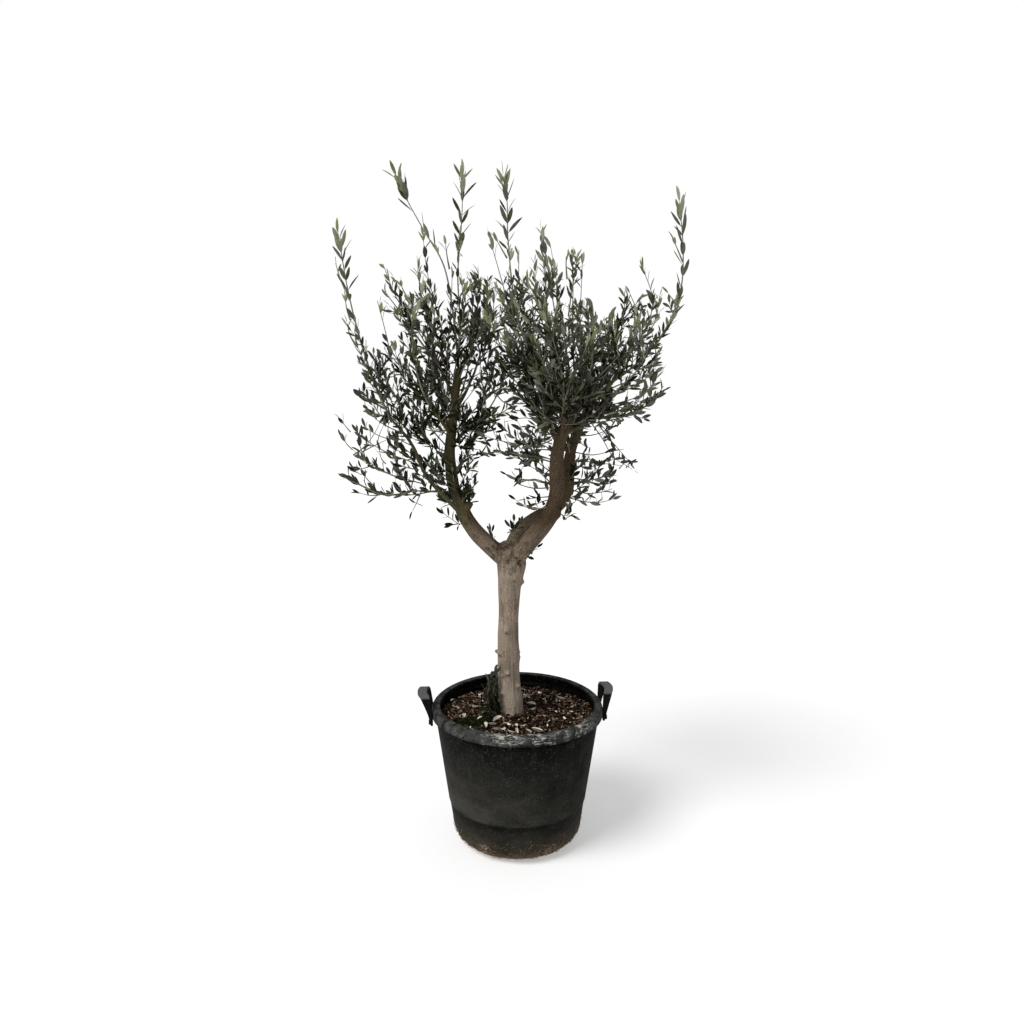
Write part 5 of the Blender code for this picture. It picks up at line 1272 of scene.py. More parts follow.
    ("low", ((0.166, 0.1, 1.094), (0.223, 0.12, 1.086), (0.268, 0.14, 1.096), (0.313, 0.15, 1.102))),
    ("low", ((0.216, 0.12, 1.16), (0.237, 0.14, 1.127), (0.264, 0.16, 1.101))),
    ("low", ((-0.446, -0.03, 1.183), (-0.41, -0.04, 1.201), (-0.374, -0.05, 1.218))),
    ("clump", ((-0.206, 0.02, 1.179), (-0.248, 0.0, 1.198), (-0.292, -0.02, 1.217),
               (-0.328, -0.03, 1.234))),
    ("low", ((0.076, -0.09, 1.201), (0.006, -0.09, 1.209), (-0.058, -0.09, 1.221), (-0.1, -0.09, 1.237))),
    ("low", ((0.082, -0.09, 1.17), (0.017, -0.1, 1.179), (-0.049, -0.11, 1.189), (-0.099, -0.11, 1.177))),
    ("leafy", ((0.354, 0.04, 1.513), (0.352, 0.03, 1.552), (0.338, 0.02, 1.591), (0.319, 0.01, 1.628))),
    ("leafy", ((-0.337, 0.02, 1.551), (-0.329, 0.01, 1.59), (-0.332, 0.0, 1.633), (-0.349, 0.0, 1.671))),
    ("leafy", ((0.238, 0.262, 1.475), (0.236, 0.3, 1.505), (0.232, 0.336, 1.535), (0.226, 0.364, 1.558))),
    ("leafy", ((0.24, 0.262, 1.52), (0.262, 0.3, 1.556), (0.28, 0.334, 1.586), (0.29, 0.356, 1.61))),
    ("leafy", ((0.235, 0.262, 1.56), (0.205, 0.3, 1.58), (0.185, 0.335, 1.6), (0.172, 0.356, 1.618))),
    ("leafy", ((0.01, 0.246, 1.47), (-0.006, 0.284, 1.502), (-0.022, 0.318, 1.532),
               (-0.036, 0.346, 1.556))),
    ("leafy", ((-0.01, 0.246, 1.53), (0.016, 0.286, 1.56), (0.034, 0.32, 1.585), (0.044, 0.342, 1.605))),
    ("leafy", ((-0.275, 0.222, 1.5), (-0.296, 0.262, 1.532), (-0.316, 0.298, 1.562),
               (-0.332, 0.326, 1.588))),
    ("leafy", ((0.239, 0.256, 1.5), (0.218, 0.296, 1.498), (0.2, 0.33, 1.5), (0.19, 0.358, 1.512))),
    ("leafy", ((0.02, 0.242, 1.45), (0.044, 0.282, 1.462), (0.062, 0.316, 1.478), (0.074, 0.34, 1.498))),
    # short ones that fill the outline
    ("low", ((-0.47, -0.045, 1.19), (-0.485, -0.045, 1.205), (-0.498, -0.045, 1.225))),
    ("low", ((-0.375, -0.05, 1.15), (-0.388, -0.05, 1.165), (-0.392, -0.05, 1.185))),
    ("low", ((-0.415, -0.045, 1.09), (-0.43, -0.045, 1.105), (-0.442, -0.045, 1.122))),
    ("low", ((-0.475, -0.04, 1.24), (-0.488, -0.04, 1.255), (-0.5, -0.04, 1.272))),
    ("leafy", ((-0.445, -0.03, 1.31), (-0.458, -0.03, 1.325), (-0.466, -0.03, 1.345))),
    ("leafy", ((-0.465, 0.0, 1.49), (-0.478, 0.0, 1.515), (-0.484, 0.0, 1.545))),
    ("leafy", ((-0.475, 0.0, 1.555), (-0.484, 0.0, 1.585), (-0.488, 0.0, 1.615))),
    ("leafy", ((-0.488, 0.0, 1.64), (-0.502, 0.0, 1.675), (-0.512, 0.0, 1.712))),
    ("leafy", ((-0.3, -0.02, 1.6), (-0.318, -0.02, 1.63), (-0.33, -0.02, 1.66))),
    ("leafy", ((-0.192, 0.0, 1.695), (-0.198, 0.0, 1.728), (-0.202, 0.0, 1.76))),
    ("leafy", ((-0.03, 0.0, 1.725), (-0.045, 0.0, 1.75), (-0.058, 0.0, 1.772))),
    ("leafy", ((0.135, -0.06, 1.66), (0.133, -0.05, 1.7), (0.134, -0.045, 1.745))),
    ("leafy", ((0.305, 0.03, 1.475), (0.318, 0.02, 1.502), (0.328, 0.015, 1.53))),
    ("leafy", ((0.458, 0.0, 1.59), (0.442, 0.0, 1.608), (0.426, 0.0, 1.628))),
    ("leafy", ((0.464, 0.0, 1.715), (0.45, 0.0, 1.745), (0.436, 0.0, 1.775))),
    ("low", ((0.245, 0.12, 1.262), (0.262, 0.12, 1.246), (0.278, 0.12, 1.232))),
    ("low", ((0.315, 0.15, 1.118), (0.326, 0.15, 1.129), (0.335, 0.15, 1.142))),
    ("low", ((0.094, -0.08, 1.158), (0.078, -0.085, 1.163), (0.058, -0.09, 1.165))),
    ("low", ((0.089, -0.08, 1.06), (0.06, -0.085, 1.058), (0.028, -0.09, 1.055))),
    ("low", ((-0.018, -0.08, 1.205), (-0.034, -0.08, 1.213), (-0.052, -0.08, 1.222))),
)

sprouts = (
    ("clump", ((-0.055, -0.02, 0.385), (-0.079, -0.05, 0.414), (-0.088, -0.05, 0.45),
               (-0.086, -0.045, 0.482), (-0.076, -0.035, 0.513), (-0.065, -0.03, 0.534))),
    ("clump", ((-0.055, -0.02, 0.397), (-0.07, -0.035, 0.441), (-0.073, -0.03, 0.47),
               (-0.067, -0.03, 0.495))),
    ("sprout", ((-0.006, -0.02, 0.945), (-0.009, -0.025, 0.962), (-0.01, -0.03, 0.98))),
    ("sprout", ((-0.009, -0.02, 0.948), (-0.016, -0.026, 0.958), (-0.023, -0.03, 0.968))),
    ("sprout", ((-0.006, -0.02, 0.954), (0.001, -0.026, 0.964), (0.006, -0.03, 0.976))),
    ("sprout", ((-0.069, -0.02, 0.925), (-0.073, -0.026, 0.938), (-0.077, -0.03, 0.953))),
    ("sprout", ((0.025, -0.02, 0.874), (0.039, -0.035, 0.889), (0.056, -0.045, 0.906))),
    ("sprout", ((-0.168, -0.02, 0.969), (-0.19, -0.03, 0.987), (-0.216, -0.035, 1.007))),
    ("sprout", ((-0.165, -0.02, 0.972), (-0.179, -0.03, 0.974), (-0.19, -0.035, 0.972))),
    ("sprout", ((0.137, -0.08, 0.993), (0.142, -0.09, 1.012), (0.145, -0.09, 1.029))),
    ("sprout", ((0.129, -0.08, 1.005), (0.144, -0.1, 1.011), (0.156, -0.1, 1.005))),
    ("clump", ((-0.06, 0.004, 0.385), (-0.071, 0.004, 0.408), (-0.074, 0.002, 0.432),
               (-0.071, 0.0, 0.458))),
    ("clump", ((-0.058, -0.01, 0.385), (-0.065, -0.022, 0.406), (-0.067, -0.024, 0.43),
               (-0.063, -0.024, 0.452))),
    ("clump", ((-0.056, 0.012, 0.385), (-0.082, 0.02, 0.402), (-0.094, 0.02, 0.425),
               (-0.092, 0.014, 0.455))),
)

bareTwigs = (
    ((0.074, -0.14, 1.267), (0.092, -0.16, 1.289), (0.117, -0.18, 1.308), (0.143, -0.19, 1.322)),
    ((0.087, -0.14, 1.267), (0.073, -0.16, 1.292), (0.051, -0.18, 1.313)),
    ((0.114, -0.14, 1.278), (0.134, -0.17, 1.289), (0.165, -0.19, 1.298)),
    ((0.212, -0.18, 1.39), (0.231, -0.2, 1.413), (0.26, -0.21, 1.443)),
    ((0.076, -0.15, 1.3), (0.061, -0.18, 1.327), (0.052, -0.2, 1.356)),
    ((0.13, -0.15, 1.305), (0.14, -0.19, 1.337), (0.144, -0.2, 1.369)),
    ((0.194, -0.15, 1.332), (0.226, -0.18, 1.345), (0.263, -0.2, 1.353)),
    ((-0.132, -0.03, 1.356), (-0.106, -0.05, 1.37), (-0.08, -0.06, 1.383)),
)

# where the crown lets the sky through, seen from the front on the trunk's plane: across, height, radius
openings = (
    # between the tall shoots
    (-0.345, 1.77, 0.07), (-0.12, 1.765, 0.036), (0.025, 1.775, 0.031), (0.115, 1.805, 0.04),
    (0.155, 1.805, 0.04), (0.22, 1.805, 0.066), (0.27, 1.745, 0.07), (0.24, 1.685, 0.06),
    (-0.33, 1.705, 0.028), (-0.305, 1.66, 0.023), (-0.225, 1.71, 0.03), (-0.142, 1.715, 0.02),
    (-0.085, 1.715, 0.033), (0.11, 1.75, 0.024), (-0.06, 1.7, 0.018),
    # the notch on the right
    (0.245, 1.625, 0.042), (0.245, 1.585, 0.023), (0.196, 1.645, 0.024), (0.325, 1.665, 0.02),
    # behind the far left shoot
    (-0.44, 1.6, 0.036), (-0.405, 1.655, 0.023), (-0.418, 1.535, 0.032), (-0.405, 1.498, 0.018),
    (-0.488, 1.45, 0.027), (-0.485, 1.395, 0.035),
    # round the low left twigs
    (-0.495, 1.325, 0.024), (-0.47, 1.295, 0.024), (-0.4, 1.245, 0.022), (-0.395, 1.105, 0.019),
    # the right edge, and beside the right boughs
    (0.45, 1.485, 0.035), (0.45, 1.393, 0.022), (0.468, 1.345, 0.026), (0.325, 1.23, 0.037),
    (0.325, 1.19, 0.025), (0.225, 1.22, 0.02), (0.237, 1.181, 0.018), (0.314, 1.108, 0.02),
    # over the fork
    (-0.084, 1.08, 0.042), (-0.08, 1.135, 0.028), (-0.025, 1.143, 0.018), (0.002, 1.07, 0.018),
    (0.034, 1.125, 0.017), (-0.143, 1.345, 0.018), (-0.074, 1.325, 0.016), (0.01, 1.276, 0.017),
)

# small gaps fall by chance inside zones: across, height, half the width and height, how many
gaps = {
    "radius": (0.009, 0.015),
    "zones": (
        (-0.23, 1.69, 0.08, 0.05, 8), (-0.02, 1.7, 0.07, 0.06, 6), (0.16, 1.62, 0.07, 0.08, 6),
        (0.355, 1.62, 0.035, 0.05, 4), (-0.39, 1.54, 0.06, 0.08, 6), (-0.26, 1.43, 0.13, 0.13, 7),
        (-0.37, 1.16, 0.11, 0.08, 8), (-0.1, 1.3, 0.05, 0.12, 3), (0.24, 1.13, 0.08, 0.08, 8),
        (0.37, 1.36, 0.09, 0.03, 5), (-0.04, 1.1, 0.06, 0.05, 3),
    ),
}


def planOpenings():
    rows = list(openings)
    for index, (across, height, wide, tall, count) in enumerate(gaps["zones"]):
        chance = random.Random("gaps%d" % index)
        for number in range(count):
            place = across + chance.uniform(-wide, wide), height + chance.uniform(-tall, tall)
            rows.append((*place, chance.uniform(*gaps["radius"])))
    return rows


growth = {
    "crown": ((-0.518, -0.42, 0.985), (0.488, 0.44, 1.999)), "clear": 0.0015, "overlap": 1.3,
    "cores": ((0.14, -0.02, 1.36), (0.06, 0.0, 1.42), (-0.19, 0.02, 1.3), (-0.19, 0.02, 1.46),
              (-0.19, 0.0, 1.12)),
    "thin": (1.46, 1.66, 0.85), "rise": 0.012, "stemRadii": (0.004, 0.0011), "twigRadii": (0.002, 0.0008),
    "sideRadii": (0.0012, 0.0006),
    "twigAngle": (30.0, 56.0), "sideAngle": (32.0, 56.0), "lift": 0.1, "twigShare": (0.5, 1.02),
    "step": 0.012,
    # the turn from one twig to the next, and the height above which tips are young and pale
    "spiral": 2.399, "fullTurn": 6.28, "paleHeight": 1.46,
    # bounds of the tints, which paint shade under the crown and deep inside it and lighter leaves at its top;
    # and where the crown is parted
    "footHeight": 1.0, "deep": 0.16, "topHeight": 1.62, "parting": 0.02,
    "leafyRadii": (0.0026, 0.0009), "sproutRadii": (0.0013, 0.0007),
}

# sprigs on the side of each limb: first and last share of its length, how many, shortest and longest
sprigs = (
    ("left_bough_upper", "clump", 0.0, 0.26, 10, 0.04, 0.07),
    ("left_bough_upper", "leafy", 0.46, 1.0, 13, 0.05, 0.12),
    ("left_bough_lower", "clump", 0.84, 1.0, 9, 0.04, 0.08),
    ("left_outer_bough", "clump", 0.08, 1.0, 6, 0.04, 0.06),
    ("left_low_branch", "low", 0.2, 1.0, 4, 0.04, 0.08),
    ("right_front_bough_upper", "leafy", 0.6, 1.0, 20, 0.06, 0.15),
    ("right_rear_bough_upper", "clump", 0.02, 0.45, 8, 0.04, 0.07),
    ("right_rear_bough_upper", "leafy", 0.5, 1.0, 15, 0.06, 0.15),
    ("right_inner_bough", "leafy", 0.15, 1.0, 18, 0.06, 0.16),
    ("left_front_branch", "leafy", 0.2, 1.0, 4, 0.06, 0.12),
    ("left_back_branch", "leafy", 0.2, 1.0, 4, 0.06, 0.12),
    ("right_front_branch", "leafy", 0.2, 1.0, 8, 0.06, 0.14),
    ("right_back_branch", "leafy", 0.2, 1.0, 8, 0.06, 0.14),
    ("centre_back_branch", "leafy", 0.2, 1.0, 8, 0.06, 0.14),
    ("left_inner_low_branch", "clump", 0.1, 1.0, 8, 0.05, 0.1),
)

# how each kind of shoot carries its leaves: gap between pairs, leaf length, angle at the foot and at the tip,
# how much a leaf stands up, how many side shoots in a metre, the tint of its tip
shoots = {
    "low": {"gap": (0.019, 0.029), "length": (0.028, 0.04), "angle": (60.0, 32.0), "stand": 0.6,
            "sides": 0.0,
            "tip": 0, "shapes": (2, 3)},
    "leafy": {"gap": (0.016, 0.025), "length": (0.028, 0.04), "angle": (48.0, 22.0), "stand": 0.18,
              "sides": 20.0,
              "tip": 3, "shapes": (0, 1, 2, 2)},
    "side": {"gap": (0.013, 0.019), "length": (0.024, 0.035), "angle": (52.0, 26.0), "stand": 0.18,
             "sides": 0.0,
             "tip": 1, "shapes": (1, 2, 2, 3)},
    "clump": {"gap": (0.011, 0.016), "length": (0.026, 0.038), "angle": (58.0, 34.0), "stand": 0.4,
              "sides": 12.0,
              "tip": 0, "shapes": (2, 3)},
    "tall": {"gap": (0.023, 0.033), "length": (0.046, 0.06), "angle": (58.0, 30.0), "stand": 0.08,
             "sides": 0.0,
             "tip": 3, "shapes": (0, 0, 1)},
    "sprout": {"gap": (0.014, 0.02), "length": (0.026, 0.037), "angle": (62.0, 30.0), "stand": 0.3,
               "sides": 0.0,
               "tip": 0, "shapes": (2, 3)},
}


crownOpenings = planOpenings()


def makeSpace():
    starts, ends, owners, reaches = [], [], [], []
    stems = planStems()
    for index, (name, stem) in enumerate(stems.items()):
        reaches.append(masses[name]["reach"])
        for before, after in zip(stem[::3], stem[3::3]):
            starts.append(before[:])
            ends.append(after[:])
            owners.append(index)
    limbStarts, limbEnds, limbSizes = [], [], []
    for line in limbLines.values():
        for before, after in zip(line, line[1:]):
            limbStarts.append(before.xyz[:])
            limbEnds.append(after.xyz[:])
            limbSizes.append(max(before.w, after.w))
    return {"stems": stems, "names": list(stems), "lines": (np.array(starts), np.array(ends)),
            "owners": np.array(owners), "reaches": np.array(reaches),
            "limbs": (np.array(limbStarts), np.array(limbEnds)), "limbSizes": np.array(limbSizes)}


def distances(points, lines):
    starts, ends = lines
    spans = ends - starts
    aims = points[:, None, :] - starts[None, :, :]
    shares = (aims * spans).sum(axis=2) / (spans * spans).sum(axis=1)
    nearest = starts + np.clip(shares, 0.0, 1.0)[:, :, None] * spans
    return np.linalg.norm(points[:, None, :] - nearest, axis=2)


def holds(space, name, points):
    # for each point: whether it lies in the mass's own space, clear of every limb
    low, high = map(np.array, growth["crown"])
    inside = ((points > low) & (points < high)).all(axis=1)
    inside &= (distances(points, space["limbs"]) - space["limbSizes"]).min(axis=1) > growth["clear"]
    toLines = distances(points, space["lines"])
    count = len(space["names"])
    toStems = np.array([toLines[:, space["owners"] == index].min(axis=1) for index in range(count)])
    own = space["names"].index(name)
    shares = toStems / space["reaches"][:, None]
    others = np.delete(shares, own, axis=0).min(axis=0)
    return inside & (shares[own] < 1.0) & (shares[own] < others * growth["overlap"])


def stemFeet(line, targets):
    # stems that share a bough's flat tip each stand on the side they head for
    middle = [sized.xyz for sized in line]
    centre, axis, across = framesAlong(middle)[-1]
    if len(targets) == 1:
        return [centre.copy()]
    upward = axis.cross(across)
    angles = []
    for target in targets:
        aim = Vector(target) - centre
        angles.append(math.atan2(aim.dot(upward), aim.dot(across)))
    order = sorted(range(len(targets)), key=lambda index: angles[index])
    slot = 2.0 * math.pi / len(targets)
    phase = sum(angles[index] - slot * place for place, index in enumerate(order)) / len(targets)
    spread = 0.0035 / math.sin(slot * 0.5)
    feet = {}
    for place, index in enumerate(order):
        angle = phase + slot * place
        feet[index] = centre + (across * math.cos(angle) + upward * math.sin(angle)) * spread
    return [feet[index] for index in range(len(targets))]


def planStems():
    stems = {}
    for limbName, line in limbLines.items():
        names = [name for name, mass in masses.items() if mass["on"] == limbName]
        feet = stemFeet(line, [masses[name]["points"][0] for name in names]) if names else []
        axis = (line[-1].xyz - line[-2].xyz).normalized()
        for name, foot in zip(names, feet):
            points = [foot - axis * 0.006, foot + axis * growth["rise"], *masses[name]["points"]]
            stems[name] = smoothPath(points, growth["step"])
    return stems


class Growing:
    # what has grown so far: leaves as rows of numbers, twigs as lines with a radius at each point

    def __init__(self):
        self.leaves = []
        self.twigs = []


def addLeaf(grown, chance, point, aim, upper, length, tint, shapes):
    # the upper face is turned a little at random about the leaf's own line
    upper = (upper - aim * upper.dot(aim)).normalized()
    upper = Matrix.Rotation(chance.uniform(-0.6, 0.6), 3, aim) @ upper
    grown.leaves.append((point, aim, upper, length, chance.choice(shapes), tint))


def placeTint(chance, place):
    # painted shade: darker deep in the crown and below it; lighter and greyer towards its top and outside,
    # partly the leaves' own grey, partly painted light
    deep = min((place - Vector(core)).length for core in growth["cores"])
    shade = chance.random()
    if place.z < growth["footHeight"]:
        return 0
    if deep < growth["deep"]:
        return 0 if shade < 0.8 else 1
    if place.z > growth["topHeight"]:
        return 1 if shade < 0.62 else (2 if shade < 0.92 else 0)
    return 0 if shade < 0.45 else (1 if shade < 0.85 else 2)


def leafPairs(grown, chance, path, kind, first, last, tint):
    # opposite pairs, each at right angles to the one before, closing up towards the tip
    shoot = shoots[kind]
    lengths = lengthsAlong(path)
    frames = framesAlong(path)
    total = lengths[-1]
    turn = chance.uniform(0.0, math.pi)
    at = first
    while at < last:
        index = max(1, min(int(np.searchsorted(lengths, at)), len(path) - 1))
        share = (at - lengths[index - 1]) / (lengths[index] - lengths[index - 1])
        point = path[index - 1].lerp(path[index], min(1.0, share))
        along = (path[index] - path[index - 1]).normalized()
        across = frames[index][2]
        place = at / total
        left = total - at
        for side in (0.0, math.pi):
            if chance.random() < 0.07:
                continue
            aside = Matrix.Rotation(turn + side + chance.uniform(-0.35, 0.35), 3, along) @ across
            wide, narrow = shoot["angle"]
            angle = math.radians(wide + (narrow - wide) * place ** 1.3 + chance.uniform(-12.0, 12.0))
            aim = along * math.cos(angle) + aside * math.sin(angle)
            aim = (aim + Vector((0.0, 0.0, shoot["stand"]))).normalized()
            length = chance.uniform(*shoot["length"]) * min(1.0, 0.78 + left / 0.1)
            shade = tint
            if left < 0.055 and (kind == "tall" or point.z > growth["paleHeight"]):
                shade = shoot["tip"]
            elif chance.random() < 0.3:
                shade = placeTint(chance, point)
            addLeaf(grown, chance, point + aside * 0.0008, aim, along, length, shade, shoot["shapes"])
        turn += math.pi * 0.5
        at += chance.uniform(*shoot["gap"]) * (0.45 if kind == "tall" and left < 0.08 else 1.0)
    tip = (path[-1] - path[-2]).normalized()
    if kind == "tall" or path[-1].z > growth["paleHeight"]:
        shade = shoot["tip"]
    else:
        shade = placeTint(chance, path[-1])
    addLeaf(grown, chance, path[-1], tip, frames[-1][2], shoot["length"][0], shade, shoot["shapes"])


def bendPath(root, aim, length, lift, chance):
    # a shoot that curves up as it grows
    step = growth["step"]
    path = [root]
    aim = aim.copy()
    sway = Vector((chance.uniform(-1.0, 1.0), chance.uniform(-1.0, 1.0),
                   chance.uniform(-0.5, 0.5))) * 0.05
    for index in range(max(2, round(length / step))):
        aim = (aim + Vector((0.0, 0.0, lift)) + sway).normalized()
        path.append(path[-1] + aim * step)
    return path


def trimmed(space, name, path):
    # a shoot stops where its mass's space ends
    points = np.array([point[:] for point in path[1:]])
    inside = holds(space, name, points) & ~inOpenings(points)
    return path if inside.all() else path[:int(np.argmin(inside)) + 1]


def thinning(place):
    # the share of shoots left out, which rises towards the top of the crown
    low, high, most = growth["thin"]
    return most * min(1.0, max(0.0, (place.z - low) / (high - low)))


def addShoot(grown, chance, path, kind, radii, first, bushy=1.0, space=None, name=None, lift=0.1):
    # one shoot with its leaves, and side shoots where its kind has them
    lengths = lengthsAlong(path)
    total = lengths[-1]
    wide, narrow = radii
    grown.twigs.append([(*point, wide + (narrow - wide) * far / total) for point,
                        far in zip(path, lengths)])
    leafPairs(grown, chance, path, kind, first, total - 0.003, placeTint(chance, path[len(path) // 2]))
    frames = framesAlong(path)
    spin = chance.uniform(0.0, growth["fullTurn"])
    count = round(shoots[kind]["sides"] * bushy * max(0.0, total - first))
    for number in range(count):
        most = max(total * 0.5, total - 0.11)
        at = first + (most - first) * (number + chance.uniform(0.2, 0.8)) / count
        index = max(1, min(len(path) - 2, int(np.searchsorted(lengths, at))))
        point, along, across = frames[index]
        if chance.random() < thinning(point):
            continue
        spin += growth["spiral"]
        aside = Matrix.Rotation(spin, 3, along) @ across
        angle = math.radians(chance.uniform(*growth["sideAngle"]))
        aim = (along * math.cos(angle) + aside * math.sin(angle)).normalized()
        far = chance.uniform(0.035, 0.085) * (1.0 - 0.45 * at / total)
        spur = bendPath(point, aim, far, lift, chance)
        if space:
            spur = trimmed(space, name, spur)
        elif inOpenings(np.array([point[:] for point in spur])).any():
            continue
        if len(spur) > 2:
            addShoot(grown, chance, spur, "side", growth["sideRadii"], 0.01)


def growMass(space, name, grown):
    mass = masses[name]
    chance = random.Random(name + "_fine")
    stem = space["stems"][name]
    first, last = mass["span"]
    tall = lengthsAlong(stem)[-1] * (1.0 - last) > 0.1
    inSky = inOpenings(np.array([point[:] for point in stem]), 0.026)
    inSky[:len(stem) // 3] = False
    if inSky.any() and not tall:
        stem = stem[:max(6, int(np.argmax(inSky)))]
    lengths = lengthsAlong(stem)
    total = lengths[-1]
    frames = framesAlong(stem)
    fresh = Growing()
    thick, fine = growth["stemRadii"]
    fresh.twigs.append([(*point, thick + (fine - thick) * (length / total) ** 0.8) for point,
                        length in zip(stem, lengths)])
    lift = growth["lift"] * mass.get("level", 1.0)
    twigCount = round(mass["twigs"] * mass.get("fill", 1.3))
    turn = chance.uniform(0.0, growth["fullTurn"])
    for number in range(twigCount):
        place = (number + chance.uniform(0.2, 0.8)) / twigCount
        share = first + (last - first) * place
        index = min(len(stem) - 2, int(np.searchsorted(lengths, share * total)))
        root, along, across = frames[index]
        turn += growth["spiral"]
        if chance.random() < thinning(root) * 0.8:
            continue
        aside = Matrix.Rotation(turn, 3, along) @ across
        angle = math.radians(chance.uniform(*growth["twigAngle"]))
        aim = (along * math.cos(angle) + aside * math.sin(angle)).normalized()
        reach = mass["reach"] * (1.0 - 0.25 * place ** 1.5) * 1.15 * chance.uniform(*growth["twigShare"])
        path = trimmed(space, name, bendPath(root, aim, reach, lift, chance))
        if len(path) > 3:
            addShoot(fresh, chance, path, mass.get("kind", "leafy"), growth["twigRadii"], 0.014,
                     mass.get("bushy", 1.0),
                     space, name, lift)
    # leaves on the stem itself, longer and lighter on the bare shoot above its twigs
    leafPairs(fresh, chance, stem[:max(3, int(len(stem) * last))], mass.get("kind", "leafy"),
              total * max(0.12, first),
              total * last, 0)
    leafPairs(fresh, chance, stem, "tall" if tall else "side", total * last, total - 0.004, 1)
    # leaves that leave the space or touch a limb are dropped
    probes = leafProbes(fresh.leaves)
    kept = (holds(space, name, probes) & ~inOpenings(probes)).reshape(-1, 2).all(axis=1)
    fresh.leaves = [leaf for leaf, inside in zip(fresh.leaves, kept) if inside]
    grown.leaves += fresh.leaves
    grown.twigs += pruned(fresh)
    return len(fresh.leaves)


def pruned(fresh):
    # bare ends beyond the last leaf are cut away
    near = KDTree(len(fresh.leaves))
    for index, row in enumerate(fresh.leaves):
        near.insert(row[0], index)
    near.balance()
    lines = []
    for line in fresh.twigs:
        last = len(line)
        while last > 2 and near.find(line[last - 1][:3])[2] > 0.022:
            last -= 1
        if last > 2:
            lines.append(line[:last])
    return lines


def inOpenings(points, least=0.0):
    # seen from the viewing place, whether each point lies before or behind an opening
    eye = np.array(view["place"])
    seen = eye + (points - eye) * (eye[1] / (eye[1] - points[:, 1]))[:, None]
    closed = np.zeros(len(points), dtype=bool)
    for across, height, radius in crownOpenings:
        if radius < least:
            continue
        closed |= (seen[:, 0] - across) ** 2 + (seen[:, 2] - height) ** 2 < radius ** 2
    return closed


def leafProbes(leaves):
    probes = []
    for point, aim, upper, length, kind, tint in leaves:
        probes += [(point + aim * length)[:], (point + aim * length * 0.5)[:]]
    return np.array(probes)


def growSprigs(grown):
    # leafy sprigs from the sides of the boughs, more of them towards the tip
    for name, kind, first, last, count, short, long in sprigs:
        chance = random.Random(name + kind)
        line = limbLines[name]
        frames = framesAlong([sized.xyz for sized in line])
        spin = chance.uniform(0.0, growth["fullTurn"])
        for number in range(count):
            share = first + (last - first) * ((number + chance.uniform(0.1, 0.9)) / count) ** 0.8
            index = min(len(line) - 1, int(share * len(line)))
            point, along, across = frames[index]
            spin += growth["spiral"]
            aside = Matrix.Rotation(spin, 3, along) @ across
            angle = math.radians(chance.uniform(38.0, 78.0))
            aim = (along * math.cos(angle) + aside * math.sin(angle)).normalized()
            path = bendPath(point + aside * line[index].w * 0.7, aim, chance.uniform(short, long), 0.1,
                            chance)
            addShoot(grown, chance, path, kind, growth["twigRadii"], 0.014, 0.9)


def keepClear(space, fresh, low, high, openToSky):
    # leaves kept are those inside the limits, clear of the limbs and out of the openings
    probes = leafProbes(fresh.leaves)
    inside = ((probes > np.array(low)) & (probes < np.array(high))).all(axis=1)
    inside &= (distances(probes, space["limbs"]) - space["limbSizes"]).min(axis=1) > growth["clear"]
    if openToSky:
        inside &= ~inOpenings(probes)
    kept = inside.reshape(-1, 2).all(axis=1)
    fresh.leaves = [leaf for leaf, inside in zip(fresh.leaves, kept) if inside]


def growWands(space, grown):
    # sprigs on the boughs, then the single shoots
    low, high = growth["crown"]
    fresh = Growing()
    growSprigs(fresh)
    keepClear(space, fresh, low, high, True)
    grown.leaves += fresh.leaves
    grown.twigs += pruned(fresh)
    fresh = Growing()
    for number, (kind, points) in enumerate(wands):
        chance = random.Random("wand%d" % number)
        path = smoothPath(points, growth["step"])
        radii = growth["leafyRadii"] if kind == "leafy" else growth["twigRadii"]
        addShoot(fresh, chance, path, kind, radii, 0.05 if kind == "leafy" else 0.03, 0.65)
    keepClear(space, fresh, low, high, True)
    grown.leaves += fresh.leaves
    grown.twigs += pruned(fresh)
    # small sprouts on the trunk and at the fork
    fresh = Growing()
    for number, (kind, points) in enumerate(sprouts):
        chance = random.Random("sprout%d" % number)
        addShoot(fresh, chance, smoothPath(points, 0.006), kind, growth["sproutRadii"], 0.006, 0.0)
    keepClear(space, fresh, (-0.5, -0.3, 0.392), (0.4, 0.3, 1.2), False)
    # leaves low by the trunk's foot take the darkest tint, a painted shade
    grown.leaves += [(*leaf[:5], 0 if leaf[0].z < 0.6 else leaf[5]) for leaf in fresh.leaves]
    grown.twigs += fresh.twigs
    # twigs that have lost their leaves
    for points in bareTwigs:
        path = smoothPath(points, growth["step"])
        grown.twigs.append([(*point, 0.0012 - 0.0006 * index / len(path)) for index,
                            point in enumerate(path)])
    return len(grown.leaves)


# one leaf: a thin closed blade, arched along its length, on a short stalk

leaf = {
    # share of the length, half width as a share of the length
    "outline": ((0.0, 0.013), (0.08, 0.018), (0.24, 0.09), (0.48, 0.126), (0.74, 0.104), (0.91, 0.052)),
    "thickness": 0.016,
}


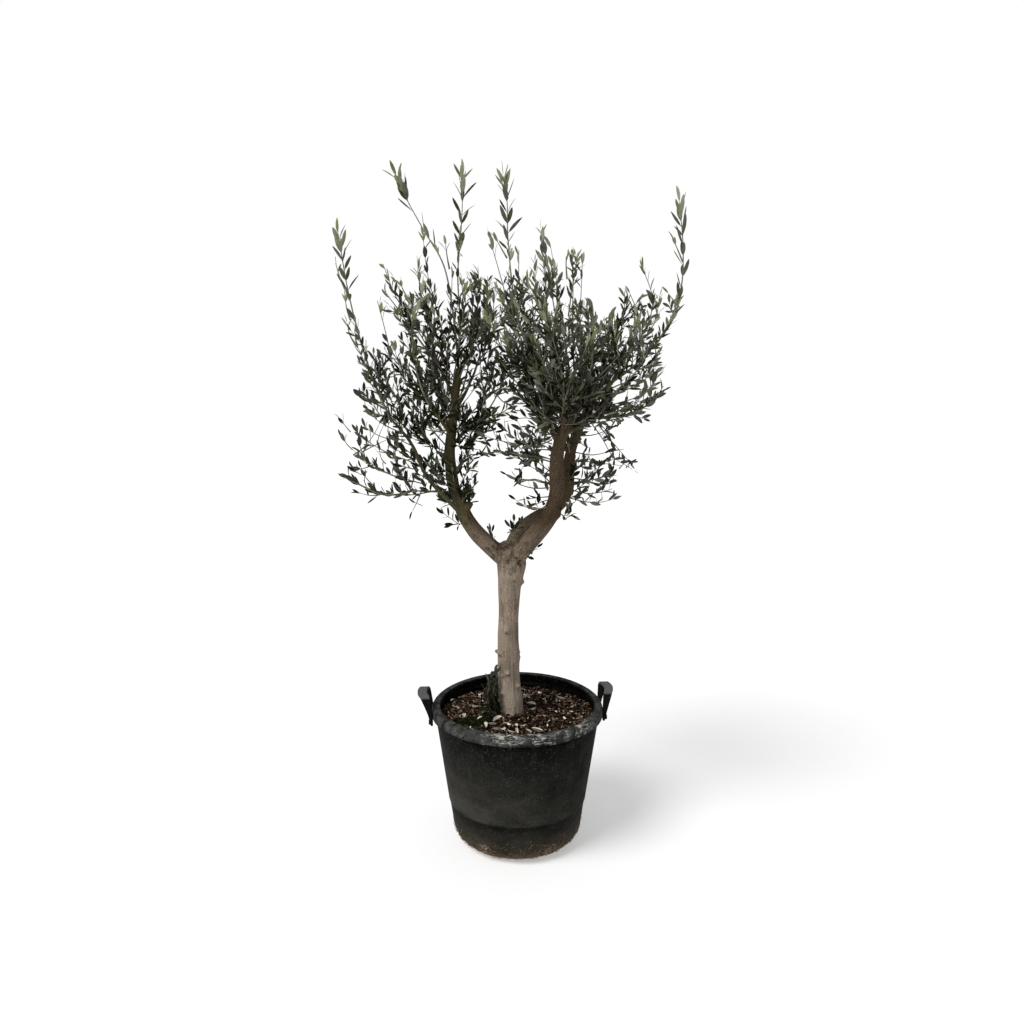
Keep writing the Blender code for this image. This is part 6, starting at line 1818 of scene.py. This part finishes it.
def makeLeafShape(name, bend, twist, fold, width=1.0):
    # a blade of unit length along +Y with its upper face towards +Z
    shape = bmesh.new()
    mark = shape.faces.layers.int.new("underside")
    rings = []
    for share, half in leaf["outline"]:
        centre = Vector((0.0, share, bend * share * share))
        spin = twist * share
        across = Vector((math.cos(spin), 0.0, math.sin(spin)))
        up = Vector((-math.sin(spin), 0.0, math.cos(spin)))
        half *= width
        thick = leaf["thickness"] * (0.5 if share > 0.1 else 0.9)
        ring = [centre - across * half + up * fold * half, centre + up * thick * 0.5,
                centre + across * half + up * fold * half, centre - up * thick]
        rings.append([shape.verts.new(corner) for corner in ring])
    tip = shape.verts.new((0.0, 1.0, bend))
    for low, high in zip(rings, rings[1:]):
        for index in range(4):
            after = (index + 1) % 4
            face = shape.faces.new((low[index], high[index], high[after], low[after]))
            face[mark] = 1 if index >= 2 else 0
    for index in range(4):
        face = shape.faces.new((rings[-1][index], tip, rings[-1][(index + 1) % 4]))
        face[mark] = 1 if index >= 2 else 0
    shape.faces.new(rings[0])
    mesh = meshFromBmesh(name, shape)
    mesh.shade_smooth()
    mesh.set_sharp_from_angle(angle=math.radians(50.0))
    return bpy.data.objects.new(name, mesh)


def makeShapes(name, made):
    shapes = bpy.data.collections.new(name)
    bpy.context.scene.collection.children.link(shapes)
    for item in made:
        shapes.objects.link(item)
    return shapes


def addSocket(tree, name, kind):
    return tree.interface.new_socket(name=name, in_out="INPUT", socket_type=kind)


def startNodes(name):
    tree = bpy.data.node_groups.new(name, "GeometryNodeTree")
    addSocket(tree, "Geometry", "NodeSocketGeometry")
    tree.interface.new_socket(name="Geometry", in_out="OUTPUT", socket_type="NodeSocketGeometry")
    return tree


def named(tree, name, kind):
    made = addNode(tree, "GeometryNodeInputNamedAttribute", {"Name": name}, data_type=kind)
    return made.outputs["Attribute"]


def equals(tree, name, number):
    # sockets 2 and 3 are the ones that compare whole numbers
    return addNode(tree, "FunctionNodeCompare", {2: named(tree, name, "INT"), 3: number},
                   data_type="INT", operation="EQUAL").outputs[0]


def buildStrewTree(name, finishes):
    # points with aim, upper, size, kind and tint become shapes; a finish goes to each tint and face
    tree = startNodes(name)
    addSocket(tree, "Shapes", "NodeSocketCollection")
    addSocket(tree, "Scale", "NodeSocketFloat")
    inputs = addNode(tree, "NodeGroupInput").outputs
    shapes = addNode(tree, "GeometryNodeCollectionInfo",
                     {"Collection": inputs["Shapes"], "Separate Children": True,
                                                          "Reset Children": True})
    points = addNode(tree, "GeometryNodeMeshToPoints", {"Mesh": inputs["Geometry"]}).outputs[0]
    turned = addNode(tree, "FunctionNodeAxesToRotation",
                     {"Primary Axis": named(tree, "aim", "FLOAT_VECTOR"),
                      "Secondary Axis": named(tree, "upper", "FLOAT_VECTOR")},
                     primary_axis="Y", secondary_axis="Z").outputs[0]
    size = addNode(tree, "ShaderNodeMath", {0: named(tree, "size", "FLOAT"), 1: inputs["Scale"]},
                   operation="MULTIPLY")
    strewn = addNode(tree, "GeometryNodeInstanceOnPoints",
                     {"Points": points, "Instance": shapes.outputs[0], "Pick Instance": True,
                      "Instance Index": named(tree, "kind", "INT"), "Rotation": turned,
                      "Scale": size.outputs[0]})
    result = addNode(tree, "GeometryNodeRealizeInstances", {"Geometry": strewn.outputs[0]}).outputs[0]
    for tint, underside, material in finishes:
        both = addNode(tree, "FunctionNodeBooleanMath",
                       {0: equals(tree, "tint", tint), 1: equals(tree, "underside", underside)},
                       operation="AND")
        result = addNode(tree, "GeometryNodeSetMaterial",
                         {"Geometry": result, "Selection": both.outputs[0],
                                                           "Material": material}).outputs[0]
    output = addNode(tree, "NodeGroupOutput")
    tree.links.new(result, output.inputs[0])
    return tree


def clearShapes(shapes):
    for item in list(shapes.objects):
        bpy.data.objects.remove(item)
    bpy.data.collections.remove(shapes)


def setInput(modifier, name, value):
    for item in modifier.node_group.interface.items_tree:
        if item.item_type == "SOCKET" and item.in_out == "INPUT" and item.name == name:
            modifier[item.identifier] = value


def strew(name, rows, shapes, tree, scale=1.0):
    # rows of (point, aim, upper, size, kind, tint) become one mesh
    mesh = bpy.data.meshes.new(name)
    mesh.from_pydata([row[0][:] for row in rows], [], [])
    for key, kind, values in (("aim", "FLOAT_VECTOR", [axis for row in rows for axis in row[1]]),
                              ("upper", "FLOAT_VECTOR", [axis for row in rows for axis in row[2]]),
                              ("size", "FLOAT", [row[3] for row in rows]),
                              ("kind", "INT", [row[4] for row in rows]),
                              ("tint", "INT", [row[5] for row in rows])):
        layer = mesh.attributes.new(key, kind, "POINT")
        layer.data.foreach_set("vector" if kind == "FLOAT_VECTOR" else "value", values)
    seeds = bpy.data.objects.new(name + "_seeds", mesh)
    bpy.context.scene.collection.objects.link(seeds)
    modifier = seeds.modifiers.new("strew", "NODES")
    modifier.node_group = tree
    setInput(modifier, "Shapes", shapes)
    setInput(modifier, "Scale", scale)
    return settle(seeds, name)


def buildTwigTree(material):
    # lines with a thickness at each point become tubes
    tree = startNodes("twigTubes")
    addSocket(tree, "Sides", "NodeSocketInt")
    inputs = addNode(tree, "NodeGroupInput").outputs
    curves = addNode(tree, "GeometryNodeMeshToCurve", {"Mesh": inputs["Geometry"]}).outputs[0]
    profile = addNode(tree, "GeometryNodeCurvePrimitiveCircle",
                      {"Resolution": inputs["Sides"], "Radius": 1.0})
    tubes = addNode(tree, "GeometryNodeCurveToMesh",
                    {"Curve": curves, "Profile Curve": profile.outputs[0],
                                                      "Scale": named(tree, "thick", "FLOAT"),
                                                      "Fill Caps": True})
    rounded = addNode(tree, "GeometryNodeSetShadeSmooth", {"Geometry": tubes.outputs[0]}).outputs[0]
    whole = addNode(tree, "GeometryNodeRealizeInstances", {"Geometry": rounded}).outputs[0]
    result = addNode(tree, "GeometryNodeSetMaterial",
                     {"Geometry": whole, "Material": material}).outputs[0]
    output = addNode(tree, "NodeGroupOutput")
    tree.links.new(result, output.inputs[0])
    return tree


def growTubes(name, lines, tree, sides):
    points, edges, sizes = [], [], []
    for line in lines:
        edges += [(len(points) + index, len(points) + index + 1) for index in range(len(line) - 1)]
        points += [point[:3] for point in line]
        sizes += [point[3] for point in line]
    mesh = bpy.data.meshes.new(name)
    mesh.from_pydata(points, edges, [])
    layer = mesh.attributes.new("thick", "FLOAT", "POINT")
    layer.data.foreach_set("value", sizes)
    seeds = bpy.data.objects.new(name + "_lines", mesh)
    bpy.context.scene.collection.objects.link(seeds)
    modifier = seeds.modifiers.new("tubes", "NODES")
    modifier.node_group = tree
    setInput(modifier, "Sides", sides)
    return settle(seeds, name)


def makeLeafFinish(name, dark, light, roughness):
    material, tree, shader = startMaterial(name, roughness, 0.02)
    mottle = cloud(tree, objectPattern(tree), 55.0, 3.0)
    tree.links.new(blendColours(tree, ramp(tree, mottle, 0.3, 0.7), dark, light),
                   shader.inputs["Base Color"])
    fineGrain = cloud(tree, objectPattern(tree), 700.0, 2.0)
    addBump(tree, shader, fineGrain, 0.15, 0.0005)
    return material


def makeTwigBark():
    material, tree, shader = startMaterial("twigBark", 0.85, 0.1)
    place = objectPattern(tree)
    base = blendColours(tree, ramp(tree, cloud(tree, place, 60.0, 5.0), 0.35, 0.65), (0.105, 0.09, 0.066),
                        (0.275, 0.245, 0.195))
    base = blendColours(tree, ramp(tree, cloud(tree, place, 14.0), 0.5, 0.7), base, (0.145, 0.15, 0.09))
    tree.links.new(base, shader.inputs["Base Color"])
    addBump(tree, shader, cloud(tree, place, 420.0, 4.0), 0.3, 0.001)
    return material


def makeFoliage():
    finishes = (
        (0, 0, makeLeafFinish("leafDark", (0.005, 0.0062, 0.002), (0.021, 0.024, 0.0095), 0.5)),
        (1, 0, makeLeafFinish("leafGreen", (0.03, 0.033, 0.015), (0.066, 0.071, 0.035), 0.48)),
        (2, 0, makeLeafFinish("leafGrey", (0.06, 0.066, 0.038), (0.118, 0.125, 0.08), 0.52)),
        (3, 0, makeLeafFinish("leafYoung", (0.11, 0.128, 0.052), (0.2, 0.222, 0.105), 0.52)),
        (0, 1, makeLeafFinish("undersideDark", (0.04, 0.046, 0.034), (0.085, 0.094, 0.072), 0.65)),
        (1, 1, makeLeafFinish("undersideGreen", (0.075, 0.084, 0.062), (0.135, 0.148, 0.115), 0.65)),
        (2, 1, makeLeafFinish("undersideGrey", (0.14, 0.152, 0.122), (0.23, 0.246, 0.205), 0.65)),
        (3, 1, makeLeafFinish("undersideYoung", (0.21, 0.235, 0.15), (0.32, 0.345, 0.24), 0.65)),
    )
    tree = buildStrewTree("leafSprays", finishes)
    twigTree = buildTwigTree(makeTwigBark())
    shapes = makeShapes("leaf_shapes", (
        makeLeafShape("leaf_0", 0.1, 0.25, 0.16, 0.88), makeLeafShape("leaf_1", -0.12, -0.2, 0.1, 1.08),
        makeLeafShape("leaf_2", -0.2, 0.3, 0.2, 1.26), makeLeafShape("leaf_3", 0.04, -0.25, 0.08, 1.46)))
    space = makeSpace()
    groups = {}
    for name, mass in masses.items():
        groups.setdefault(mass["group"], []).append(name)
    total = 0
    for group, names in groups.items():
        grown = Growing()
        for name in names:
            count = growMass(space, name, grown)
            total += count
            print("  ", name, count, "leaves")
        leaves = strew("leaves_" + group, grown.leaves, shapes, tree)
        finishPiece(leaves, "leaves", *names)
        twigs = growTubes("twigs_" + group, grown.twigs, twigTree, 4)
        finishPiece(twigs, "bark", *names)
    grown = Growing()
    count = growWands(space, grown)
    total += count
    print("   wands", count, "leaves")
    for side, low, high in (("left", -1.0, growth["parting"]), ("right", growth["parting"], 1.0)):
        leaves = [leaf for leaf in grown.leaves if low <= leaf[0].x < high]
        finishPiece(strew("leaves_wands_" + side, leaves, shapes, tree), "leaves")
    finishPiece(growTubes("twigs_wands", grown.twigs, twigTree, 4), "bark")
    print("leaves", total)
    clearShapes(shapes)


makeFoliage()
print("foliage grown")


# litter on the soil: bark chips, curled fallen leaves and moss

litter = {
    "chips": 4200, "bits": 320, "moss": 620, "collar": 190, "mossPlace": (-0.13, -0.078),
    "mossReach": 0.062,
    "strays": 22, "fullTurn": 6.283,
    # fallen leaves, curled and pale: across, back, length
    "leaves": (
        (0.032, 0.111, 0.026), (0.072, 0.132, 0.024), (0.085, 0.085, 0.014), (0.14, 0.096, 0.024),
        (0.043, 0.043, 0.03), (0.05, -0.003, 0.02), (0.138, -0.074, 0.018), (-0.156, -0.052, 0.034),
        (-0.127, 0.019, 0.02), (-0.059, -0.074, 0.034), (-0.094, -0.118, 0.03), (-0.057, -0.138, 0.026),
        (-0.045, -0.152, 0.026), (-0.005, -0.125, 0.024), (-0.0, -0.159, 0.026), (0.032, -0.159, 0.02),
        (0.057, -0.154, 0.034), (-0.101, -0.018, 0.016), (-0.205, 0.085, 0.014), (-0.025, -0.118, 0.02),
        (0.016, -0.125, 0.018), (-0.074, -0.104, 0.022), (0.086, -0.118, 0.014), (0.117, -0.013, 0.014),
        (-0.137, -0.133, 0.018), (-0.111, -0.067, 0.018), (-0.019, -0.168, 0.02), (0.082, -0.052, 0.012),
        (0.163, -0.013, 0.012), (-0.182, 0.019, 0.014), (-0.036, -0.104, 0.016),
    ),
}


def makeChipShape(name, seed):
    # a splinter of bark: a box with its corners moved
    chance = random.Random(seed)
    shape = bmesh.new()
    bmesh.ops.create_cube(shape, size=1.0)
    for corner in shape.verts:
        x, y, z = corner.co
        end = 0.55 if y > 0.0 else 1.0
        corner.co = (x * 0.52 * end + chance.uniform(-0.1, 0.1), y + chance.uniform(-0.16, 0.16),
                     z * 0.22 + chance.uniform(-0.05, 0.05))
    bmesh.ops.recalc_face_normals(shape, faces=shape.faces)
    return bpy.data.objects.new(name, meshFromBmesh(name, shape))


def makeHuskShape(name, bend, roll, width):
    # a dry leaf curled along its length, thin and closed
    shape = bmesh.new()
    rings = []
    for share, half in ((0.0, 0.02), (0.15, 0.12), (0.45, 0.19), (0.75, 0.15), (0.95, 0.05)):
        centre = Vector((0.06 * math.sin(share * 3.0), share - 0.5, bend * (share - 0.5) ** 2 * 4.0))
        half *= width
        ring = [centre + Vector((-half, 0.0, roll * half)), centre + Vector((0.0, 0.0, 0.012)),
                centre + Vector((half, 0.0, roll * half * 1.4)), centre + Vector((0.0, 0.0, -0.022))]
        rings.append([shape.verts.new(corner) for corner in ring])
    for low, high in zip(rings, rings[1:]):
        for index in range(4):
            shape.faces.new((low[index], high[index], high[(index + 1) % 4], low[(index + 1) % 4]))
    shape.faces.new(rings[0])
    shape.faces.new(rings[-1])
    bmesh.ops.recalc_face_normals(shape, faces=shape.faces)
    return bpy.data.objects.new(name, meshFromBmesh(name, shape))


def litterRow(chance, x, y, length, kind, tint, lift, tilt):
    spin = chance.uniform(0.0, litter["fullTurn"])
    aim = Vector((math.cos(spin), math.sin(spin), chance.uniform(-tilt, tilt))).normalized()
    upper = Vector((chance.uniform(-tilt, tilt), chance.uniform(-tilt, tilt), 1.0))
    upper = (upper - aim * upper.dot(aim)).normalized()
    return (Vector((x, y, soilHeight(x, y) + lift)), aim, upper, length, kind, tint)


def placeAround(chance, reach):
    # an even scatter over the soil, away from the trunk
    while True:
        x, y = chance.uniform(-reach, reach), chance.uniform(-reach, reach)
        if math.hypot(x, y) < reach and math.hypot(x + 0.018, y) > 0.042:
            return x, y


def makeLitter():
    finishes = []
    for tint, (name, dark, light) in enumerate((
            ("chipDark", (0.0015, 0.001, 0.0007), (0.014, 0.009, 0.006)),
            ("chipRed", (0.034, 0.019, 0.012), (0.1, 0.056, 0.036)),
            ("chipTan", (0.15, 0.11, 0.078), (0.34, 0.265, 0.2)),
            ("huskPale", (0.42, 0.395, 0.32), (0.72, 0.69, 0.59)),
            ("mossGreen", (0.006, 0.01, 0.003), (0.022, 0.034, 0.01)))):
        finish = makeLeafFinish(name, dark, light, 0.85)
        finishes.append((tint, 0, finish))
    tree = buildStrewTree("soilLitter", finishes)
    shapes = makeShapes("litter_shapes", (
        makeChipShape("litter_0", 3), makeChipShape("litter_1", 5), makeChipShape("litter_2", 8),
        makeChipShape("litter_3", 13),
        makeHuskShape("litter_4", 0.3, 0.9, 1.0), makeHuskShape("litter_5", -0.22, 0.5, 1.25),
        makeHuskShape("litter_6", 0.12, 1.3, 0.8)))
    chance = random.Random("litter")
    rows = []
    for number in range(litter["chips"]):
        x, y = placeAround(chance, 0.231)
        # fewer pale chips and more dark ones on the right, a painted shade on the side away from the light
        shares = (0.62, 0.31, 0.07) if x > 0.03 else (0.5, 0.35, 0.15)
        tint = chance.choices((0, 1, 2), shares)[0]
        rows.append(litterRow(chance, x, y, chance.uniform(0.004, 0.0115), chance.randrange(4), tint,
                              chance.uniform(0.0, 0.004), 0.5))
    for number in range(litter["bits"]):
        x, y = placeAround(chance, 0.226)
        rows.append(litterRow(chance, x, y, chance.uniform(0.003, 0.006), chance.randrange(4),
                              chance.choice((2, 2, 3)), 0.004, 0.7))
    for x, y, length in litter["leaves"]:
        rows.append(litterRow(chance, x, y, length * 1.12, chance.choice((4, 6, 6)), 3, 0.0105, 0.22))
    for number in range(litter["collar"]):
        # crumbs banked up round the trunk's foot
        angle, far = chance.uniform(0.0, litter["fullTurn"]), chance.uniform(0.037, 0.052)
        rows.append(litterRow(chance, -0.018 + far * math.cos(angle), far * math.sin(angle),
                              chance.uniform(0.004, 0.01),
                              chance.randrange(4), chance.choice((1, 1, 1, 2, 0)),
                              chance.uniform(0.002, 0.008), 0.6))
    for number in range(litter["strays"]):
        x, y = placeAround(chance, 0.215)
        if y > 0.02 and x < 0.0:
            rows.append(litterRow(chance, x, y, chance.uniform(0.014, 0.024), chance.choice((4, 5, 6)), 3,
                                  0.0085, 0.22))
    for number in range(litter["moss"]):
        x = litter["mossPlace"][0] + chance.gauss(0.0, 0.5) * litter["mossReach"]
        y = litter["mossPlace"][1] + chance.gauss(0.0, 0.4) * litter["mossReach"]
        if math.hypot(x, y) < 0.226:
            rows.append(litterRow(chance, x, y, chance.uniform(0.007, 0.014), chance.choice((4, 6)), 4,
                                  0.003, 1.2))
    finishPiece(strew("soil_litter", rows, shapes, tree), "soil")
    clearShapes(shapes)


# fine roots along the tub's foot

fibres = {"count": 520, "thickness": 0.00052, "fullTurn": 6.283, "dark": (0.085, 0.048, 0.026),
          "light": (0.26, 0.165, 0.095)}


def makeFibres():
    material, tree, shader = startMaterial("rootFibre", 0.9, 0.04)
    mottle = cloud(tree, objectPattern(tree), 40.0, 3.0)
    tree.links.new(blendColours(tree, ramp(tree, mottle, 0.35, 0.65), fibres["dark"], fibres["light"]),
                   shader.inputs["Base Color"])
    chance = random.Random("fibres")
    lines = []
    corner = tub["corner"]
    foot = tubWallRadius(corner) - tub["step"]
    for number in range(fibres["count"]):
        turn = chance.uniform(0.0, 2.0 * math.pi)
        slope = math.radians(chance.choice((chance.uniform(-72.0, -20.0), chance.uniform(-72.0, -5.0),
                                            chance.uniform(-40.0, 25.0))))
        run, climb = chance.uniform(-0.9, 0.9), chance.uniform(-0.6, 0.6)
        sway = chance.uniform(0.0, fibres["fullTurn"])
        lift = chance.uniform(0.0004, 0.003)
        count = chance.randrange(5, 10)
        line = []
        for index in range(count):
            share = index / (count - 1)
            reach = corner + lift * (0.3 + math.sin(share * math.pi))
            radius = foot - corner + reach * math.cos(min(slope, 0.0))
            height = corner + (corner + lift) * math.sin(min(slope, 0.0)) + max(slope, 0.0) * 0.06
            height = max(height, 0.0012)
            line.append((radius * math.cos(turn), radius * math.sin(turn), height,
                         fibres["thickness"] * (1.2 - 0.6 * share)))
            turn += run * 0.016 + 0.01 * math.sin(sway + index * 1.3)
            slope += climb * 0.07 + 0.05 * math.sin(sway * 1.7 + index * 0.9)
        lines.append(line)
    piece = growTubes("root_fibres", lines, buildTwigTree(material), 3)
    finishPiece(piece, "tub")


makeLitter()
makeFibres()
print("soil litter and fibres laid")
